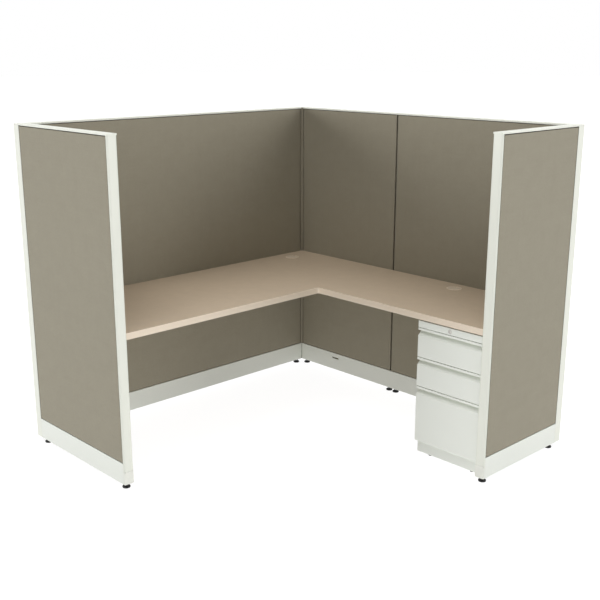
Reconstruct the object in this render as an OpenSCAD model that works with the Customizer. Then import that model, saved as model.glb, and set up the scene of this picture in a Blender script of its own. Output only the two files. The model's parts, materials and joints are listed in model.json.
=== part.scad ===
// Corner cubicle workstation: fabric-faced panels on steel frames, an L-shaped worktop
// on brackets, and a pedestal with two box drawers over a file drawer.
// Origin: on the floor, under the middle of the footprint. +X runs along the back wall
// towards the right wing, +Y points at the back wall, +Z is up.

/* [Walls] */
// Width of the left wall's one panel
left_wall_w = 1828.8; // [1650:0.1:2050]
// Width of the back wall's narrow panel, beside the corner
back_narrow_w = 762; // [700:0.1:860]
// Width of the back wall's wide panel
back_wide_w = 1066.8; // [980:0.1:1220]
// Width of the left wing's panel
left_wing_w = 762; // [700:0.1:860]
// Width of the right wing's panel
right_wing_w = 609.6; // [600:0.1:700]
// Depth of a panel's frame, between its skins
core_t = 25.4; // [21:0.1:34]
// Height of the whole station
station_h = 1640; // [1300:1:1900]

/* [Skins and trims] */
// Thickness of a fabric-wrapped skin
skin_t = 12.7; // [10:0.1:15]
// Shadow gap between a skin and the trim round it
reveal = 4; // [2:0.1:6]
// Gap between the two skins at the back wall's seam
seam_gap = 11; // [6:0.1:14]
// Leg of the chamfered strip in an inner corner
strip_leg = 8.5; // [6:0.1:12]
// Gap between that strip and a skin
strip_gap = 3.5; // [2:0.1:6]
// Height of the top cap's visible edge
cap_h = 7.6; // [6:0.1:14]
// Wall of the caps and of the end trims
cap_wall = 1.6; // [1.2:0.1:2.4]
// Rounding of a wing's end trim along its two long edges
end_trim_r = 9; // [6:0.1:12]
// Depth of the trim behind that rounding
end_trim_flat = 1; // [0.5:0.1:4]
// Wall of the cover over a corner post
post_cover_t = 2; // [1.5:0.1:3]
// Rounding of a corner post's cover
post_cover_r = 5; // [3:0.1:8]

/* [Frames] */
// Thickness of the frame's folded steel
steel_t = 2; // [1.5:0.1:3]
// Depth of a stile along the panel
stile_w = 25; // [20:0.1:35]
// Height of the frame's rails
rail_h = 30; // [24:0.1:40]
// Height of the middle rail's centre above the floor
mid_rail_z = 900; // [860:1:1000]
// Diameter of the bolts that draw the panels together
bolt_d = 8; // [6:0.1:10]
// Width across the flats of a bolt's head
bolt_af = 13; // [11:0.1:16]
// Height of a bolt's head and nut
bolt_head_h = 5; // [4:0.1:7]

/* [Base] */
// Clearance between the base covers and the floor
base_clear = 25.6; // [18:0.1:40]
// Height of the base covers
base_cover_h = 106.1; // [90:0.1:130]
// Thickness of a base cover
base_cover_t = 1.6; // [1.2:0.1:2.4]
// How far a base cover stops short of an inner corner
base_corner_gap = 1.2; // [0.6:0.1:4]
// Gap between neighbouring base pieces
base_joint_gap = 0.8; // [0.5:0.1:3]
// Height of a wing's base end cap
base_end_h = 62; // [50:0.1:80]
// Rounding of the base end cap's long edges
base_end_r = 4; // [2:0.1:6]
// Length of the cable slot in the back base cover
slot_w = 55; // [40:0.1:70]
// Height of the cable slot
slot_h = 8; // [6:0.1:12]
// Distance from the corner to the cable slot's centre
slot_x = 306.5; // [200:0.1:400]
// Depth of the cable slot's centre below the cover's top
slot_drop = 30.7; // [12:0.1:50]
// Diameter of a panel's glide
glide_d = 38; // [30:0.1:46]
// Height of a glide's foot
glide_h = 14; // [10:0.1:16]
// Diameter of a glide's stem
stem_d = 10; // [8:0.1:12]
// Distance of a glide from the end of a wall panel
wall_glide_x = 25; // [21:0.1:32]
// Distance of a glide from the end of a wing panel
wing_glide_x = 19.5; // [18:0.1:24]

/* [Worktop] */
// Height of the worktop's surface
worktop_z = 749.2; // [700:0.1:780]
// Thickness of the worktop
worktop_t = 31.4; // [26:0.1:38]
// How far the worktop's front edges lie behind the ends of the wings' panels
worktop_inset = 7.3; // [0:0.1:30]
// Radius of the worktop's inner corner
inner_corner_r = 12; // [6:0.1:60]
// Thickness of the edge band
band_t = 2; // [1:0.1:3]
// Gap between the worktop and the walls
worktop_gap = 1.2; // [0.6:0.1:3]
// Diameter of the hole for a grommet
grommet_hole_d = 71.4; // [60:0.1:80]
// Width of a grommet's flange on the worktop
grommet_rim = 4.3; // [3:0.1:8]
// Length of a grommet's sleeve below the surface
sleeve_h = 22; // [14:0.1:28]
// Width of the cable notch in a grommet's cap
notch_w = 20; // [14:0.1:26]
// Depth of the cable notch
notch_d = 13; // [9:0.1:16]
// Corner grommet's distance from the left wall
corner_grommet_x = 104; // [70:0.1:150]
// Corner grommet's distance from the back wall
corner_grommet_y = 183; // [120:0.1:220]
// Right grommet's distance from the pedestal's left side
right_grommet_gap = 172; // [50:0.1:300]
// Right grommet's distance from the back wall
right_grommet_y = 91; // [70:0.1:150]

/* [Brackets] */
// Thickness of the brackets' plate
plate_t = 3; // [2:0.1:4]
// Distance from a bracket's tip to the worktop's front edge
bracket_end_gap = 62; // [40:0.1:150]
// Height of the seam's bracket at the wall
seam_bracket_h = 170; // [120:1:200]
// Height of the seam's bracket at its tip
seam_bracket_tip = 24; // [18:0.1:40]
// Width of a bracket's flange under the worktop
flange_w = 40; // [30:0.1:60]
// Distance from the left wall to the side bracket on the left wing
bracket_start = 30; // [20:0.1:100]
// Leg of the bracket in the corner
corner_bracket_l = 180; // [140:1:240]
// Height of the flanges of the side and corner brackets
flange_h = 40; // [30:0.1:60]
// Diameter of the screws in the worktop
screw_d = 5; // [4:0.1:6]
// Depth of those screws in the worktop
screw_depth = 18; // [12:0.1:22]
// Diameter and height of a screw's head
screw_head_d = 10; // [8:0.1:12]
// Height of a screw's head
screw_head_h = 3; // [2:0.1:4]

/* [Pedestal] */
// Width of the pedestal
ped_w = 381; // [340:0.1:420]
// Gap between the pedestal's case and the back wall
ped_back_gap = 23.3; // [5:0.1:40]
// Gap between the pedestal and the right wing
ped_side_gap = 7.8; // [4:0.1:15]
// Gap between the pedestal and the worktop, filled by spacers
ped_top_gap = 6.8; // [4:0.1:12]
// How far the fronts lie behind the worktop's edge
front_setback = 7; // [2:0.1:20]
// Thickness of a drawer's front
front_t = 26; // [22:0.1:32]
// Sheet of the case, the fronts and the trays
sheet_t = 1.5; // [1:0.1:2]
// Height of the header that holds the lock
header_h = 35.3; // [32:0.1:50]
// Height taken by a box drawer
box_pitch = 151.4; // [130:0.1:160]
// Height of the kick under the file drawer
kick_h = 60.5; // [40:0.1:90]
// Gap between two fronts
front_gap = 3; // [2:0.1:5]
// Gap between a closed front and the case
front_play = 1; // [0.5:0.1:2]
// Clearance between the case and the floor
case_clear = 16; // [10:0.1:24]
// Height of the lip over a front's finger recess
lip_h = 11; // [8:0.1:14]
// Thickness of that lip
lip_t = 3; // [2:0.1:4]
// Gap inside a front, behind its finger recess
recess_gap = 1; // [0.5:0.1:3]
// Height of the recess under its lip
recess_h = 28; // [20:0.1:36]
// Upright part of the recess's back
recess_back_h = 8; // [4:0.1:14]
// Rounding of the box drawers' lower front edges
box_edge_r = 3; // [2:0.1:6]
// Rounding of the file drawer's lower front edge
file_edge_r = 14; // [8:0.1:18]
// Gap between a tray and the case's back
tray_back_gap = 35.5; // [10:0.1:60]
// Gap between a tray's rim and the top of its front
tray_top_gap = 27.9; // [20:0.1:40]
// Height of a tray's floor above its front's lower edge
tray_lift = 14; // [10:0.1:20]
// Diameter of a pedestal leveller's foot
leveller_d = 24; // [20:0.1:30]
// Distance of a leveller from the case's side
leveller_x = 62; // [40:0.1:80]
// Distance of a leveller from the case's front and back
leveller_y = 32; // [24:0.1:60]

/* [Drawer slides and lock] */
// Gap for a slide between the case and a tray
slide_gap = 13; // [12:0.1:15]
// Gap between the slides' rails and the back of the case
rail_back_gap = 33; // [10:0.1:60]
// How far the rails start behind the case's front
rail_setback = 18; // [17:0.1:26]
// Sheet of the rails
rail_t = 1.5; // [1.2:0.1:2]
// Height of a box drawer's fixed rail
box_rail_h = 36; // [30:0.1:42]
// Height of the file drawer's fixed rail
file_rail_h = 46; // [40:0.1:52]
// Running gap between two rails
rail_run = 0.3; // [0.3:0.05:0.5]
// Diameter of the lock's barrel
lock_d = 19; // [16:0.1:22]
// Radius at which the lock's pin drives the bar, and the bar's travel
lock_throw = 8; // [7:0.1:8.5]
// Thickness of the lock bar
bar_t = 1.2; // [0.8:0.1:1.4]

/* [Hidden] */
$fn = 48;

// One overrun serves every cut, one radial clearance every shaft in a hole, and one gap
// keeps moving pieces apart
overrun = 1;
hole_fit = 0.1;
barrel_fit = 0.05;
moving_gap = 0.3;

// Heights that the panels share
base_top = base_clear + base_cover_h;
cap_bottom = station_h - cap_h;
skin_bottom = base_top + reveal;
skin_top = cap_bottom - reveal;
panel_t = core_t + 2 * skin_t;
back_wall_w = back_narrow_w + back_wide_w;
left_depth = left_wing_w - worktop_inset;
back_depth = right_wing_w - worktop_inset;
strip_inset = strip_leg + strip_gap;
end_trim_t = end_trim_r + end_trim_flat;
frame_bottom = base_clear + steel_t / 4;
frame_top = station_h - cap_wall;

// Bolt heights, as shares of the frame's height
bolt_shares = [0.12, 0.5, 0.88];
// A bracket's hooks and their notches, as shares of the bracket's height
hook_shares = [0.18, 0.5, 0.82];
hook_h = 10;
hook_d = 6;
notch_play = 0.7;
core_play = 0.5;

// The pedestal's own place, heights and widths
ped_x = back_wall_w - ped_side_gap - ped_w;
ped_y = -(back_depth - front_setback);
case_y = front_t + front_play;
case_d = -ped_y - case_y - ped_back_gap;
rail_y = case_y + rail_setback;
case_top = worktop_z - worktop_t - ped_top_gap;
upper_seam = case_top - header_h;
middle_seam = upper_seam - box_pitch;
file_seam = middle_seam - box_pitch;
file_bottom = case_clear + kick_h;
tray_w = ped_w - 2 * (sheet_t + slide_gap);
tray_d = case_d + front_play - sheet_t - tray_back_gap;
rail_l = case_d - rail_setback - rail_back_gap;
box_tray_h = box_pitch - front_gap / 2 - tray_lift - tray_top_gap;
hang_h = 12;
hang_t = 3;
file_tray_h = file_seam - file_bottom - front_gap / 2 - tray_lift - tray_top_gap - hang_h;
recess_d = front_t - 2 * sheet_t - recess_gap;
recess_rise = recess_h - recess_back_h;
front_side = 0.5;
lock_z = case_top - header_h / 2;

panel_white = [0.92, 0.92, 0.9];
fabric_taupe = [0.6, 0.57, 0.51];
laminate_beige = [0.66, 0.58, 0.5];
band_beige = [0.84, 0.78, 0.7];
steel_grey = [0.62, 0.63, 0.65];
case_white = [0.88, 0.88, 0.86];
glide_black = [0.05, 0.05, 0.05];

// The corner of the two walls' inner faces stands at the origin until this shift
module station() {
    translate([-back_wall_w / 2, left_wall_w / 2, 0]) children();
}

// A panel lies along +X with its inner face at y = 0 and its outer face at y = panel_t
module on_left_wall() { station() translate([0, -left_wall_w, 0]) rotate([0, 0, 90]) children(); }
module on_back_narrow() { station() children(); }
module on_back_wide() { station() translate([back_narrow_w, 0, 0]) children(); }
module on_left_wing() {
    station() translate([left_wing_w, -left_wall_w, 0]) rotate([0, 0, 180]) children();
}
module on_right_wing() { station() translate([back_wall_w, 0, 0]) rotate([0, 0, -90]) children(); }

// Inner corners, each turned so that the room lies at +X and -Y of it
module at_inner_corners() {
    station() {
        children();
        translate([0, -left_wall_w, 0]) mirror([0, 1, 0]) children();
        translate([back_wall_w, 0, 0]) mirror([1, 0, 0]) children();
    }
}

// Frames

// A folded channel between two ends, open towards +X
module stile() {
    z0 = frame_bottom;
    difference() {
        translate([0, skin_t, z0]) cube([stile_w, core_t, frame_top - z0]);
        translate([steel_t, skin_t + steel_t, z0 - overrun])
            cube([stile_w, core_t - 2 * steel_t, frame_top - z0 + 2 * overrun]);
    }
}

// A folded channel between the stiles, open downwards, with its web at the top
module rail(w, top) {
    difference() {
        translate([0, skin_t, top - rail_h]) cube([w, core_t, rail_h]);
        translate([steel_t, skin_t + steel_t, top - rail_h - overrun])
            cube([w - 2 * steel_t, core_t - 2 * steel_t, rail_h - steel_t + overrun]);
    }
}

// The lowest rail opens upwards, so that the glides screw through its web
module bottom_rail(w) {
    difference() {
        translate([0, skin_t, frame_bottom]) cube([w, core_t, rail_h]);
        translate([steel_t, skin_t + steel_t, frame_bottom + steel_t])
            cube([w - 2 * steel_t, core_t - 2 * steel_t, rail_h]);
    }
}

module bolt_cuts(x) {
    for (share = bolt_shares)
        translate([x, panel_t / 2, frame_top * share]) rotate([0, 90, 0])
            cylinder(d = bolt_d + 2 * hole_fit, h = 4 * steel_t, center = true);
}

// Notches that the seam bracket's hooks drop into
module hook_cuts(x) {
    for (share = hook_shares)
        translate([x - plate_t / 2 - notch_play, skin_t - overrun, hook_z(share) - notch_play])
            cube([plate_t + 2 * notch_play, hook_d + overrun + notch_play, hook_h + 2 * notch_play]);
}

module glide_cuts(w, glide_x) {
    for (x = [glide_x, w - glide_x])
        translate([x, panel_t / 2, frame_bottom - overrun])
            cylinder(d = stem_d + 2 * hole_fit, h = steel_t + 2 * overrun);
}

module frame_panel(w, glide_x) {
    color(steel_grey) difference() {
        union() {
            stile();
            translate([w, 0, 0]) mirror([1, 0, 0]) stile();
            bottom_rail(w);
            rail(w, frame_top);
            rail(w, mid_rail_z + rail_h / 2);
        }
        glide_cuts(w, glide_x);
        children();
    }
}

module left_wall_frame() {
    on_left_wall() frame_panel(left_wall_w, wall_glide_x) {
        bolt_cuts(0);
        bolt_cuts(left_wall_w);
    }
}
module back_narrow_frame() {
    on_back_narrow() frame_panel(back_narrow_w, wall_glide_x) {
        bolt_cuts(0);
        bolt_cuts(back_narrow_w);
        hook_cuts(back_narrow_w);
    }
}
module back_wide_frame() {
    on_back_wide() frame_panel(back_wide_w, wall_glide_x) {
        bolt_cuts(0);
        bolt_cuts(back_wide_w);
        hook_cuts(0);
    }
}
module left_wing_frame() {
    on_left_wing() frame_panel(left_wing_w, wing_glide_x) bolt_cuts(left_wing_w);
}
module right_wing_frame() {
    on_right_wing() frame_panel(right_wing_w, wing_glide_x) bolt_cuts(0);
}

// Sound-absorbing boards between the rails of one frame
module cores(w) {
    x0 = stile_w + core_play;
    low = frame_bottom + rail_h + core_play;
    mid_low = mid_rail_z - rail_h / 2 - core_play;
    mid_high = mid_rail_z + rail_h / 2;
    high = frame_top - rail_h - core_play;
    translate([x0, skin_t, low]) cube([w - 2 * x0, core_t, mid_low - low]);
    translate([x0, skin_t, mid_high]) cube([w - 2 * x0, core_t, high - mid_high]);
}

module panel_cores() {
    color("tan") {
        on_left_wall() cores(left_wall_w);
        on_back_narrow() cores(back_narrow_w);
        on_back_wide() cores(back_wide_w);
        on_left_wing() cores(left_wing_w);
        on_right_wing() cores(right_wing_w);
    }
}

// Skins

// A skin spans its panel less a gap at each end
module skin(w, gap_start, gap_end, y) {
    color(fabric_taupe) translate([gap_start, y, skin_bottom])
        cube([w - gap_start - gap_end, skin_t, skin_top - skin_bottom]);
}
module inner_skin(w, gap_start, gap_end) { skin(w, gap_start, gap_end, 0); }
module outer_skin(w, gap_start, gap_end) { skin(w, gap_start, gap_end, panel_t - skin_t); }

module left_wall_inner_skin() { on_left_wall() inner_skin(left_wall_w, strip_inset, strip_inset); }
module left_wall_outer_skin() { on_left_wall() outer_skin(left_wall_w, reveal, reveal); }
module back_narrow_inner_skin() {
    on_back_narrow() inner_skin(back_narrow_w, strip_inset, seam_gap / 2);
}
module back_narrow_outer_skin() { on_back_narrow() outer_skin(back_narrow_w, reveal, seam_gap / 2); }
module back_wide_inner_skin() { on_back_wide() inner_skin(back_wide_w, seam_gap / 2, strip_inset); }
module back_wide_outer_skin() { on_back_wide() outer_skin(back_wide_w, seam_gap / 2, reveal); }
module left_wing_inner_skin() { on_left_wing() inner_skin(left_wing_w, reveal, strip_inset); }
module left_wing_outer_skin() { on_left_wing() outer_skin(left_wing_w, reveal, reveal); }
module right_wing_inner_skin() { on_right_wing() inner_skin(right_wing_w, strip_inset, reveal); }
module right_wing_outer_skin() { on_right_wing() outer_skin(right_wing_w, reveal, reveal); }

// Base covers

// A folded plate whose lips reach back to the frame
module base_cover(w, gap_start, gap_end) {
    l = w - gap_start - gap_end;
    color(panel_white) translate([gap_start, 0, base_clear]) difference() {
        cube([l, skin_t, base_cover_h]);
        translate([-overrun, base_cover_t, base_cover_t])
            cube([l + 2 * overrun, skin_t, base_cover_h - 2 * base_cover_t]);
    }
}
module outer_base_cover(w, gap_start, gap_end) {
    translate([0, panel_t, 0]) mirror([0, 1, 0]) base_cover(w, gap_start, gap_end);
}
module cable_slot() {
    end_r = slot_h / 2;
    for (side = [-1, 1])
        translate([slot_x + side * (slot_w / 2 - end_r), -overrun, base_top - slot_drop]) rotate([-90, 0, 0])
            cylinder(r = end_r, h = base_cover_t + 2 * overrun);
    translate([slot_x - slot_w / 2 + end_r, -overrun, base_top - slot_drop - end_r])
        cube([slot_w - slot_h, base_cover_t + 2 * overrun, slot_h]);
}

module back_inner_base_cover() {
    color(panel_white) on_back_narrow() difference() {
        base_cover(back_wall_w, base_corner_gap, base_corner_gap);
        cable_slot();
    }
}
module back_outer_base_cover() {
    on_back_narrow() outer_base_cover(back_wall_w, base_joint_gap, base_joint_gap);
}
module left_inner_base_cover() {
    on_left_wall() base_cover(left_wall_w, base_corner_gap, base_corner_gap);
}
module left_outer_base_cover() {
    on_left_wall() outer_base_cover(left_wall_w, base_joint_gap, base_joint_gap);
}
module left_wing_base_covers() {
    on_left_wing() {
        base_cover(left_wing_w, base_joint_gap, base_corner_gap);
        outer_base_cover(left_wing_w, base_joint_gap, base_joint_gap);
    }
}
module right_wing_base_covers() {
    on_right_wing() {
        base_cover(right_wing_w, base_corner_gap, base_joint_gap);
        outer_base_cover(right_wing_w, base_joint_gap, base_joint_gap);
    }
}

// Top caps

// A cap is a channel with two fins inside that grip the top rail
module top_cap(w) {
    fin_h = reveal / 2;
    color(panel_white) {
        difference() {
            translate([0, 0, cap_bottom]) cube([w, panel_t, cap_h]);
            translate([-overrun, cap_wall, cap_bottom - overrun])
                cube([w + 2 * overrun, panel_t - 2 * cap_wall, cap_h - cap_wall + overrun]);
        }
        for (y = [skin_t - cap_wall, panel_t - skin_t])
            translate([0, y, cap_bottom - fin_h]) cube([w, cap_wall, frame_top - cap_bottom + fin_h]);
    }
}
// The closed piece of a wing's cap, over the end trim; it lies at +X of x = 0
module cap_end() {
    color(panel_white) translate([0, 0, cap_bottom]) difference() {
        cube([end_trim_t, panel_t, cap_h]);
        translate([-overrun, cap_wall, -overrun])
            cube([end_trim_t - cap_wall + overrun, panel_t - 2 * cap_wall,
                cap_h - cap_wall + overrun]);
    }
}

module back_top_cap() { on_back_narrow() top_cap(back_wall_w); }
module left_top_cap() { on_left_wall() top_cap(left_wall_w); }
module left_wing_top_cap() {
    on_left_wing() {
        top_cap(left_wing_w);
        mirror([1, 0, 0]) cap_end();
    }
}
module right_wing_top_cap() {
    on_right_wing() {
        top_cap(right_wing_w);
        translate([right_wing_w, 0, 0]) cap_end();
    }
}

// Corner posts, their covers, caps and inner strips

module post_bolt_cuts() {
    for (share = bolt_shares) translate([0, 0, frame_top * share]) {
        translate([-panel_t / 2, 0, 0]) rotate([90, 0, 0])
            cylinder(d = bolt_d + 2 * hole_fit, h = 4 * steel_t, center = true);
        translate([0, panel_t / 2, 0]) rotate([0, 90, 0])
            cylinder(d = bolt_d + 2 * hole_fit, h = 4 * steel_t, center = true);
    }
}
module corner_posts() {
    post_w = panel_t - post_cover_t;
    color(steel_grey) at_inner_corners() difference() {
        translate([-post_w, 0, frame_bottom]) cube([post_w, post_w, frame_top - frame_bottom]);
        translate([steel_t - post_w, steel_t, frame_bottom - overrun])
            cube([post_w - 2 * steel_t, post_w - 2 * steel_t, frame_top - frame_bottom + 2 * overrun]);
        post_bolt_cuts();
    }
}

// A square over a post, with the outer corner at the origin rounded
module rounded_corner(size, r) {
    translate([r, r]) circle(r);
    translate([r, 0]) square([size - r, size]);
    translate([0, r]) square([size, size - r]);
}
module corner_post_covers() {
    color(panel_white) at_inner_corners() translate([-panel_t, panel_t, base_clear])
        mirror([0, 1, 0]) linear_extrude(cap_bottom - base_clear) difference() {
            rounded_corner(panel_t, post_cover_r);
            translate([post_cover_t, post_cover_t]) square(panel_t);
        }
}
module corner_post_caps() {
    color(panel_white) at_inner_corners() translate([-panel_t, panel_t, cap_bottom])
        mirror([0, 1, 0]) difference() {
            linear_extrude(cap_h) rounded_corner(panel_t, post_cover_r);
            translate([post_cover_t, post_cover_t, -overrun])
                cube([panel_t, panel_t, cap_h - cap_wall + overrun]);
        }
}

// The chamfered strip keys in between the two skins and the post's corner
module inner_corner_strips() {
    key_w = strip_leg - strip_gap;
    strip_top = station_h - cap_wall;
    color(fabric_taupe) at_inner_corners() {
        translate([0, 0, base_top]) linear_extrude(cap_bottom - reveal / 2 - base_top) {
            polygon([[0, 0], [0, -strip_leg], [strip_leg, 0]]);
            translate([-skin_t, -key_w]) square([skin_t, key_w]);
            square([key_w, skin_t]);
        }
        translate([0, 0, cap_bottom - reveal / 2]) linear_extrude(strip_top - cap_bottom + reveal / 2)
            polygon([[0, 0], [0, -strip_leg], [strip_leg, 0]]);
    }
}

// End trims and base end caps

// The end of a wing seen from above, with its two outer edges rounded
module end_outline(r) {
    difference() {
        union() {
            square([end_trim_t - r, panel_t]);
            translate([0, r]) square([end_trim_t, panel_t - 2 * r]);
            for (y = [r, panel_t - r]) translate([end_trim_t - r, y]) circle(r);
        }
        translate([-r - overrun, -overrun]) square([r + overrun, panel_t + 2 * overrun]);
    }
}
// The same as a thin section that snaps on, with two fins on the stile
module end_section(r) {
    difference() {
        end_outline(r);
        translate([-overrun, r / 2 + cap_wall])
            square([end_trim_t - cap_wall + overrun, panel_t - r - 2 * cap_wall]);
    }
    for (y = [skin_t, panel_t - skin_t - cap_wall])
        translate([0, y]) square([end_trim_t - cap_wall / 2, cap_wall]);
}
module end_trim() {
    z0 = base_clear + base_end_h + base_joint_gap;
    translate([0, 0, z0]) linear_extrude(cap_bottom - z0) end_section(end_trim_r);
}
module base_end_cap() {
    translate([0, 0, base_clear]) {
        linear_extrude(cap_wall) end_outline(base_end_r);
        linear_extrude(base_end_h) end_section(base_end_r);
    }
}
module at_wing_ends() {
    on_left_wing() mirror([1, 0, 0]) children();
    on_right_wing() translate([right_wing_w, 0, 0]) children();
}
module wing_end_trims() { color(panel_white) at_wing_ends() end_trim(); }
module base_end_caps() { color(panel_white) at_wing_ends() base_end_cap(); }

// Bolts between neighbouring stiles and posts

// A bolt along +X through two sheets that meet at x = 0
module draw_bolt() {
    rotate([0, 90, 0]) {
        cylinder(d = bolt_d, h = 2 * steel_t + 2 * bolt_head_h, center = true);
        for (side = [-1, 1]) translate([0, 0, side * (steel_t + bolt_head_h / 2)])
            cylinder(d = bolt_af / cos(30), h = bolt_head_h, center = true, $fn = 6);
    }
}
module bolt_row() {
    for (share = bolt_shares) translate([0, 0, frame_top * share]) children();
}
module panel_bolts() {
    color(steel_grey) {
        at_inner_corners() bolt_row() {
            translate([0, panel_t / 2, 0]) draw_bolt();
            translate([-panel_t / 2, 0, 0]) rotate([0, 0, 90]) draw_bolt();
        }
        on_back_wide() bolt_row() translate([0, panel_t / 2, 0]) draw_bolt();
    }
}

// Glides: a foot with a rounded edge, a threaded stem and a nut on the rail's web
module panel_glide() {
    edge_r = glide_h / 4;
    collar_h = frame_bottom - glide_h;
    nut_z = frame_bottom + steel_t;
    rotate_extrude() {
        square([glide_d / 2 - edge_r, glide_h]);
        square([glide_d / 2, glide_h - edge_r]);
        translate([glide_d / 2 - edge_r, glide_h - edge_r]) circle(edge_r);
    }
    translate([0, 0, glide_h]) cylinder(d = stem_d * 1.6, h = collar_h);
    cylinder(d = stem_d, h = nut_z + rail_h / 2);
    translate([0, 0, nut_z]) cylinder(d = stem_d * 1.7, h = rail_h / 4, $fn = 6);
}
module glide_pair(w, glide_x) {
    for (x = [glide_x, w - glide_x]) translate([x, panel_t / 2, 0]) panel_glide();
}
module panel_glides() {
    color(glide_black) {
        on_left_wall() glide_pair(left_wall_w, wall_glide_x);
        on_back_narrow() glide_pair(back_narrow_w, wall_glide_x);
        on_back_wide() glide_pair(back_wide_w, wall_glide_x);
        on_left_wing() glide_pair(left_wing_w, wing_glide_x);
        on_right_wing() glide_pair(right_wing_w, wing_glide_x);
    }
}

// Worktop

worktop_low = worktop_z - worktop_t;
seam_bracket_l = back_depth - bracket_end_gap;
left_bracket_l = left_depth - bracket_end_gap - bracket_start;

// The floor between the walls, with its corners cut off round the inner strips
module worktop_field() {
    cut = strip_leg + 2 * worktop_gap;
    difference() {
        translate([worktop_gap, -(left_wall_w - worktop_gap)])
            square([back_wall_w - 2 * worktop_gap, left_wall_w - 2 * worktop_gap]);
        polygon([[0, 0], [cut, 0], [0, -cut]]);
        translate([0, -left_wall_w]) polygon([[0, 0], [cut, 0], [0, cut]]);
        translate([back_wall_w, 0]) polygon([[0, 0], [-cut, 0], [0, -cut]]);
    }
}
// The room's share of that field, grown by inset into the worktop
module room_notch(inset) {
    r = inner_corner_r + inset;
    x = left_depth - inset;
    y = -back_depth + inset;
    translate([x + r, y - r]) circle(r);
    translate([x, y - r - left_wall_w]) square([back_wall_w, left_wall_w]);
    translate([x + r, y - left_wall_w]) square([back_wall_w, left_wall_w]);
}
// Everything that is let into the worktop from below, or through it
module worktop_holes() {
    for (at = grommet_places)
        translate([at[0], at[1], worktop_low - overrun])
            cylinder(d = grommet_hole_d, h = worktop_t + 2 * overrun, $fn = 96);
    for (at = screw_places)
        translate([at[0], at[1], worktop_low - overrun])
            cylinder(d = screw_d + 2 * hole_fit, h = screw_depth + overrun + hole_fit);
}
module worktop() {
    color(laminate_beige) station() difference() {
        translate([0, 0, worktop_low]) linear_extrude(worktop_t) difference() {
            worktop_field();
            room_notch(band_t);
        }
        worktop_holes();
    }
}
module worktop_edge_band() {
    color(band_beige) station() translate([0, 0, worktop_low]) linear_extrude(worktop_t)
        intersection() {
            worktop_field();
            difference() {
                room_notch(band_t);
                room_notch(0);
            }
        }
}

// Brackets under the worktop

function hook_z(share) = worktop_low - seam_bracket_h + seam_bracket_h * share - hook_h / 2;

// The seam bracket's blade stands in the gap between two skins
module seam_bracket() {
    top = worktop_low;
    translate([-plate_t / 2, 0, 0]) rotate([90, 0, 90]) linear_extrude(plate_t) {
        polygon([
            [skin_t, top], [skin_t, top - seam_bracket_h], [0, top - seam_bracket_h],
            [-seam_bracket_l, top - seam_bracket_tip], [-seam_bracket_l, top]
        ]);
        for (share = hook_shares)
            translate([skin_t, hook_z(share)]) square([hook_d, hook_h]);
    }
    translate([-flange_w / 2, -seam_bracket_l, top - plate_t])
        cube([flange_w, seam_bracket_l - flange_w / 2, plate_t]);
}
// An angle of length l along +X, with its upright on a skin at y = 0
module side_bracket(l) {
    translate([0, -flange_w, worktop_low - plate_t]) cube([l, flange_w, plate_t]);
    translate([0, -plate_t, worktop_low - flange_h]) cube([l, plate_t, flange_h]);
}
module corner_bracket() {
    start = strip_inset;
    l = corner_bracket_l;
    translate([0, 0, worktop_low - plate_t]) linear_extrude(plate_t)
        polygon([[0, -start], [start, 0], [l, 0], [l, -flange_w], [flange_w, -l], [0, -l]]);
    translate([start, -plate_t, worktop_low - flange_h]) cube([l - start, plate_t, flange_h]);
    translate([0, -l, worktop_low - flange_h]) cube([plate_t, l - start, flange_h]);
}
module on_left_bracket() {
    translate([bracket_start + left_bracket_l, -left_wall_w, 0]) rotate([0, 0, 180]) children();
}
module worktop_brackets() {
    color(steel_grey) station() difference() {
        union() {
            translate([back_narrow_w, 0, 0]) seam_bracket();
            on_left_bracket() side_bracket(left_bracket_l);
            corner_bracket();
        }
        for (at = bracket_screws)
            translate([at[0], at[1], worktop_low - plate_t - overrun])
                cylinder(d = screw_d + 2 * hole_fit, h = plate_t + 2 * overrun);
    }
}

// Screw places, measured from the walls' corner; shares run along each bracket
end_shares = [0.12, 0.88];
seam_shares = [0.3, 0.85];
bracket_screws = [
    for (share = seam_shares) for (side = [-1, 1])
        [back_narrow_w + side * flange_w / 3, -seam_bracket_l * share],
    for (share = end_shares)
        [bracket_start + left_bracket_l * share, -left_wall_w + flange_w * 0.6],
    [corner_bracket_l * 0.8, -flange_w * 0.6],
    [flange_w * 0.6, -corner_bracket_l * 0.8]
];
spacer_places = [
    for (x = [ped_x + leveller_x, ped_x + ped_w - leveller_x])
        for (y = [ped_y + case_y + 2 * leveller_y, ped_y + case_y + case_d - 2 * leveller_y])
            [x, y]
];
screw_places = concat(bracket_screws, spacer_places);
grommet_places = [
    [corner_grommet_x, -corner_grommet_y],
    [ped_x - right_grommet_gap, -right_grommet_y]
];

// A screw with its head under a plate whose upper face is at z = 0
module screw(plate, depth) {
    translate([0, 0, -plate]) cylinder(d = screw_d, h = plate + depth);
    translate([0, 0, -plate - screw_head_h]) cylinder(d = screw_head_d, h = screw_head_h);
}
module worktop_screws() {
    color(steel_grey) station() {
        for (at = bracket_screws)
            translate([at[0], at[1], worktop_low]) screw(plate_t, screw_depth);
        for (at = spacer_places)
            translate([at[0], at[1], worktop_low]) screw(ped_top_gap + sheet_t, screw_depth);
    }
}

// Grommets

rim_h = 2.6;
rim_w = 3.4;
cap_seat = 1;
sleeve_wall = 2.4;
cap_play = 0.3;
grommet_d = grommet_hole_d + 2 * grommet_rim;
sleeve_r = grommet_hole_d / 2 - hole_fit;
cap_r = grommet_d / 2 - rim_w;

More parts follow.
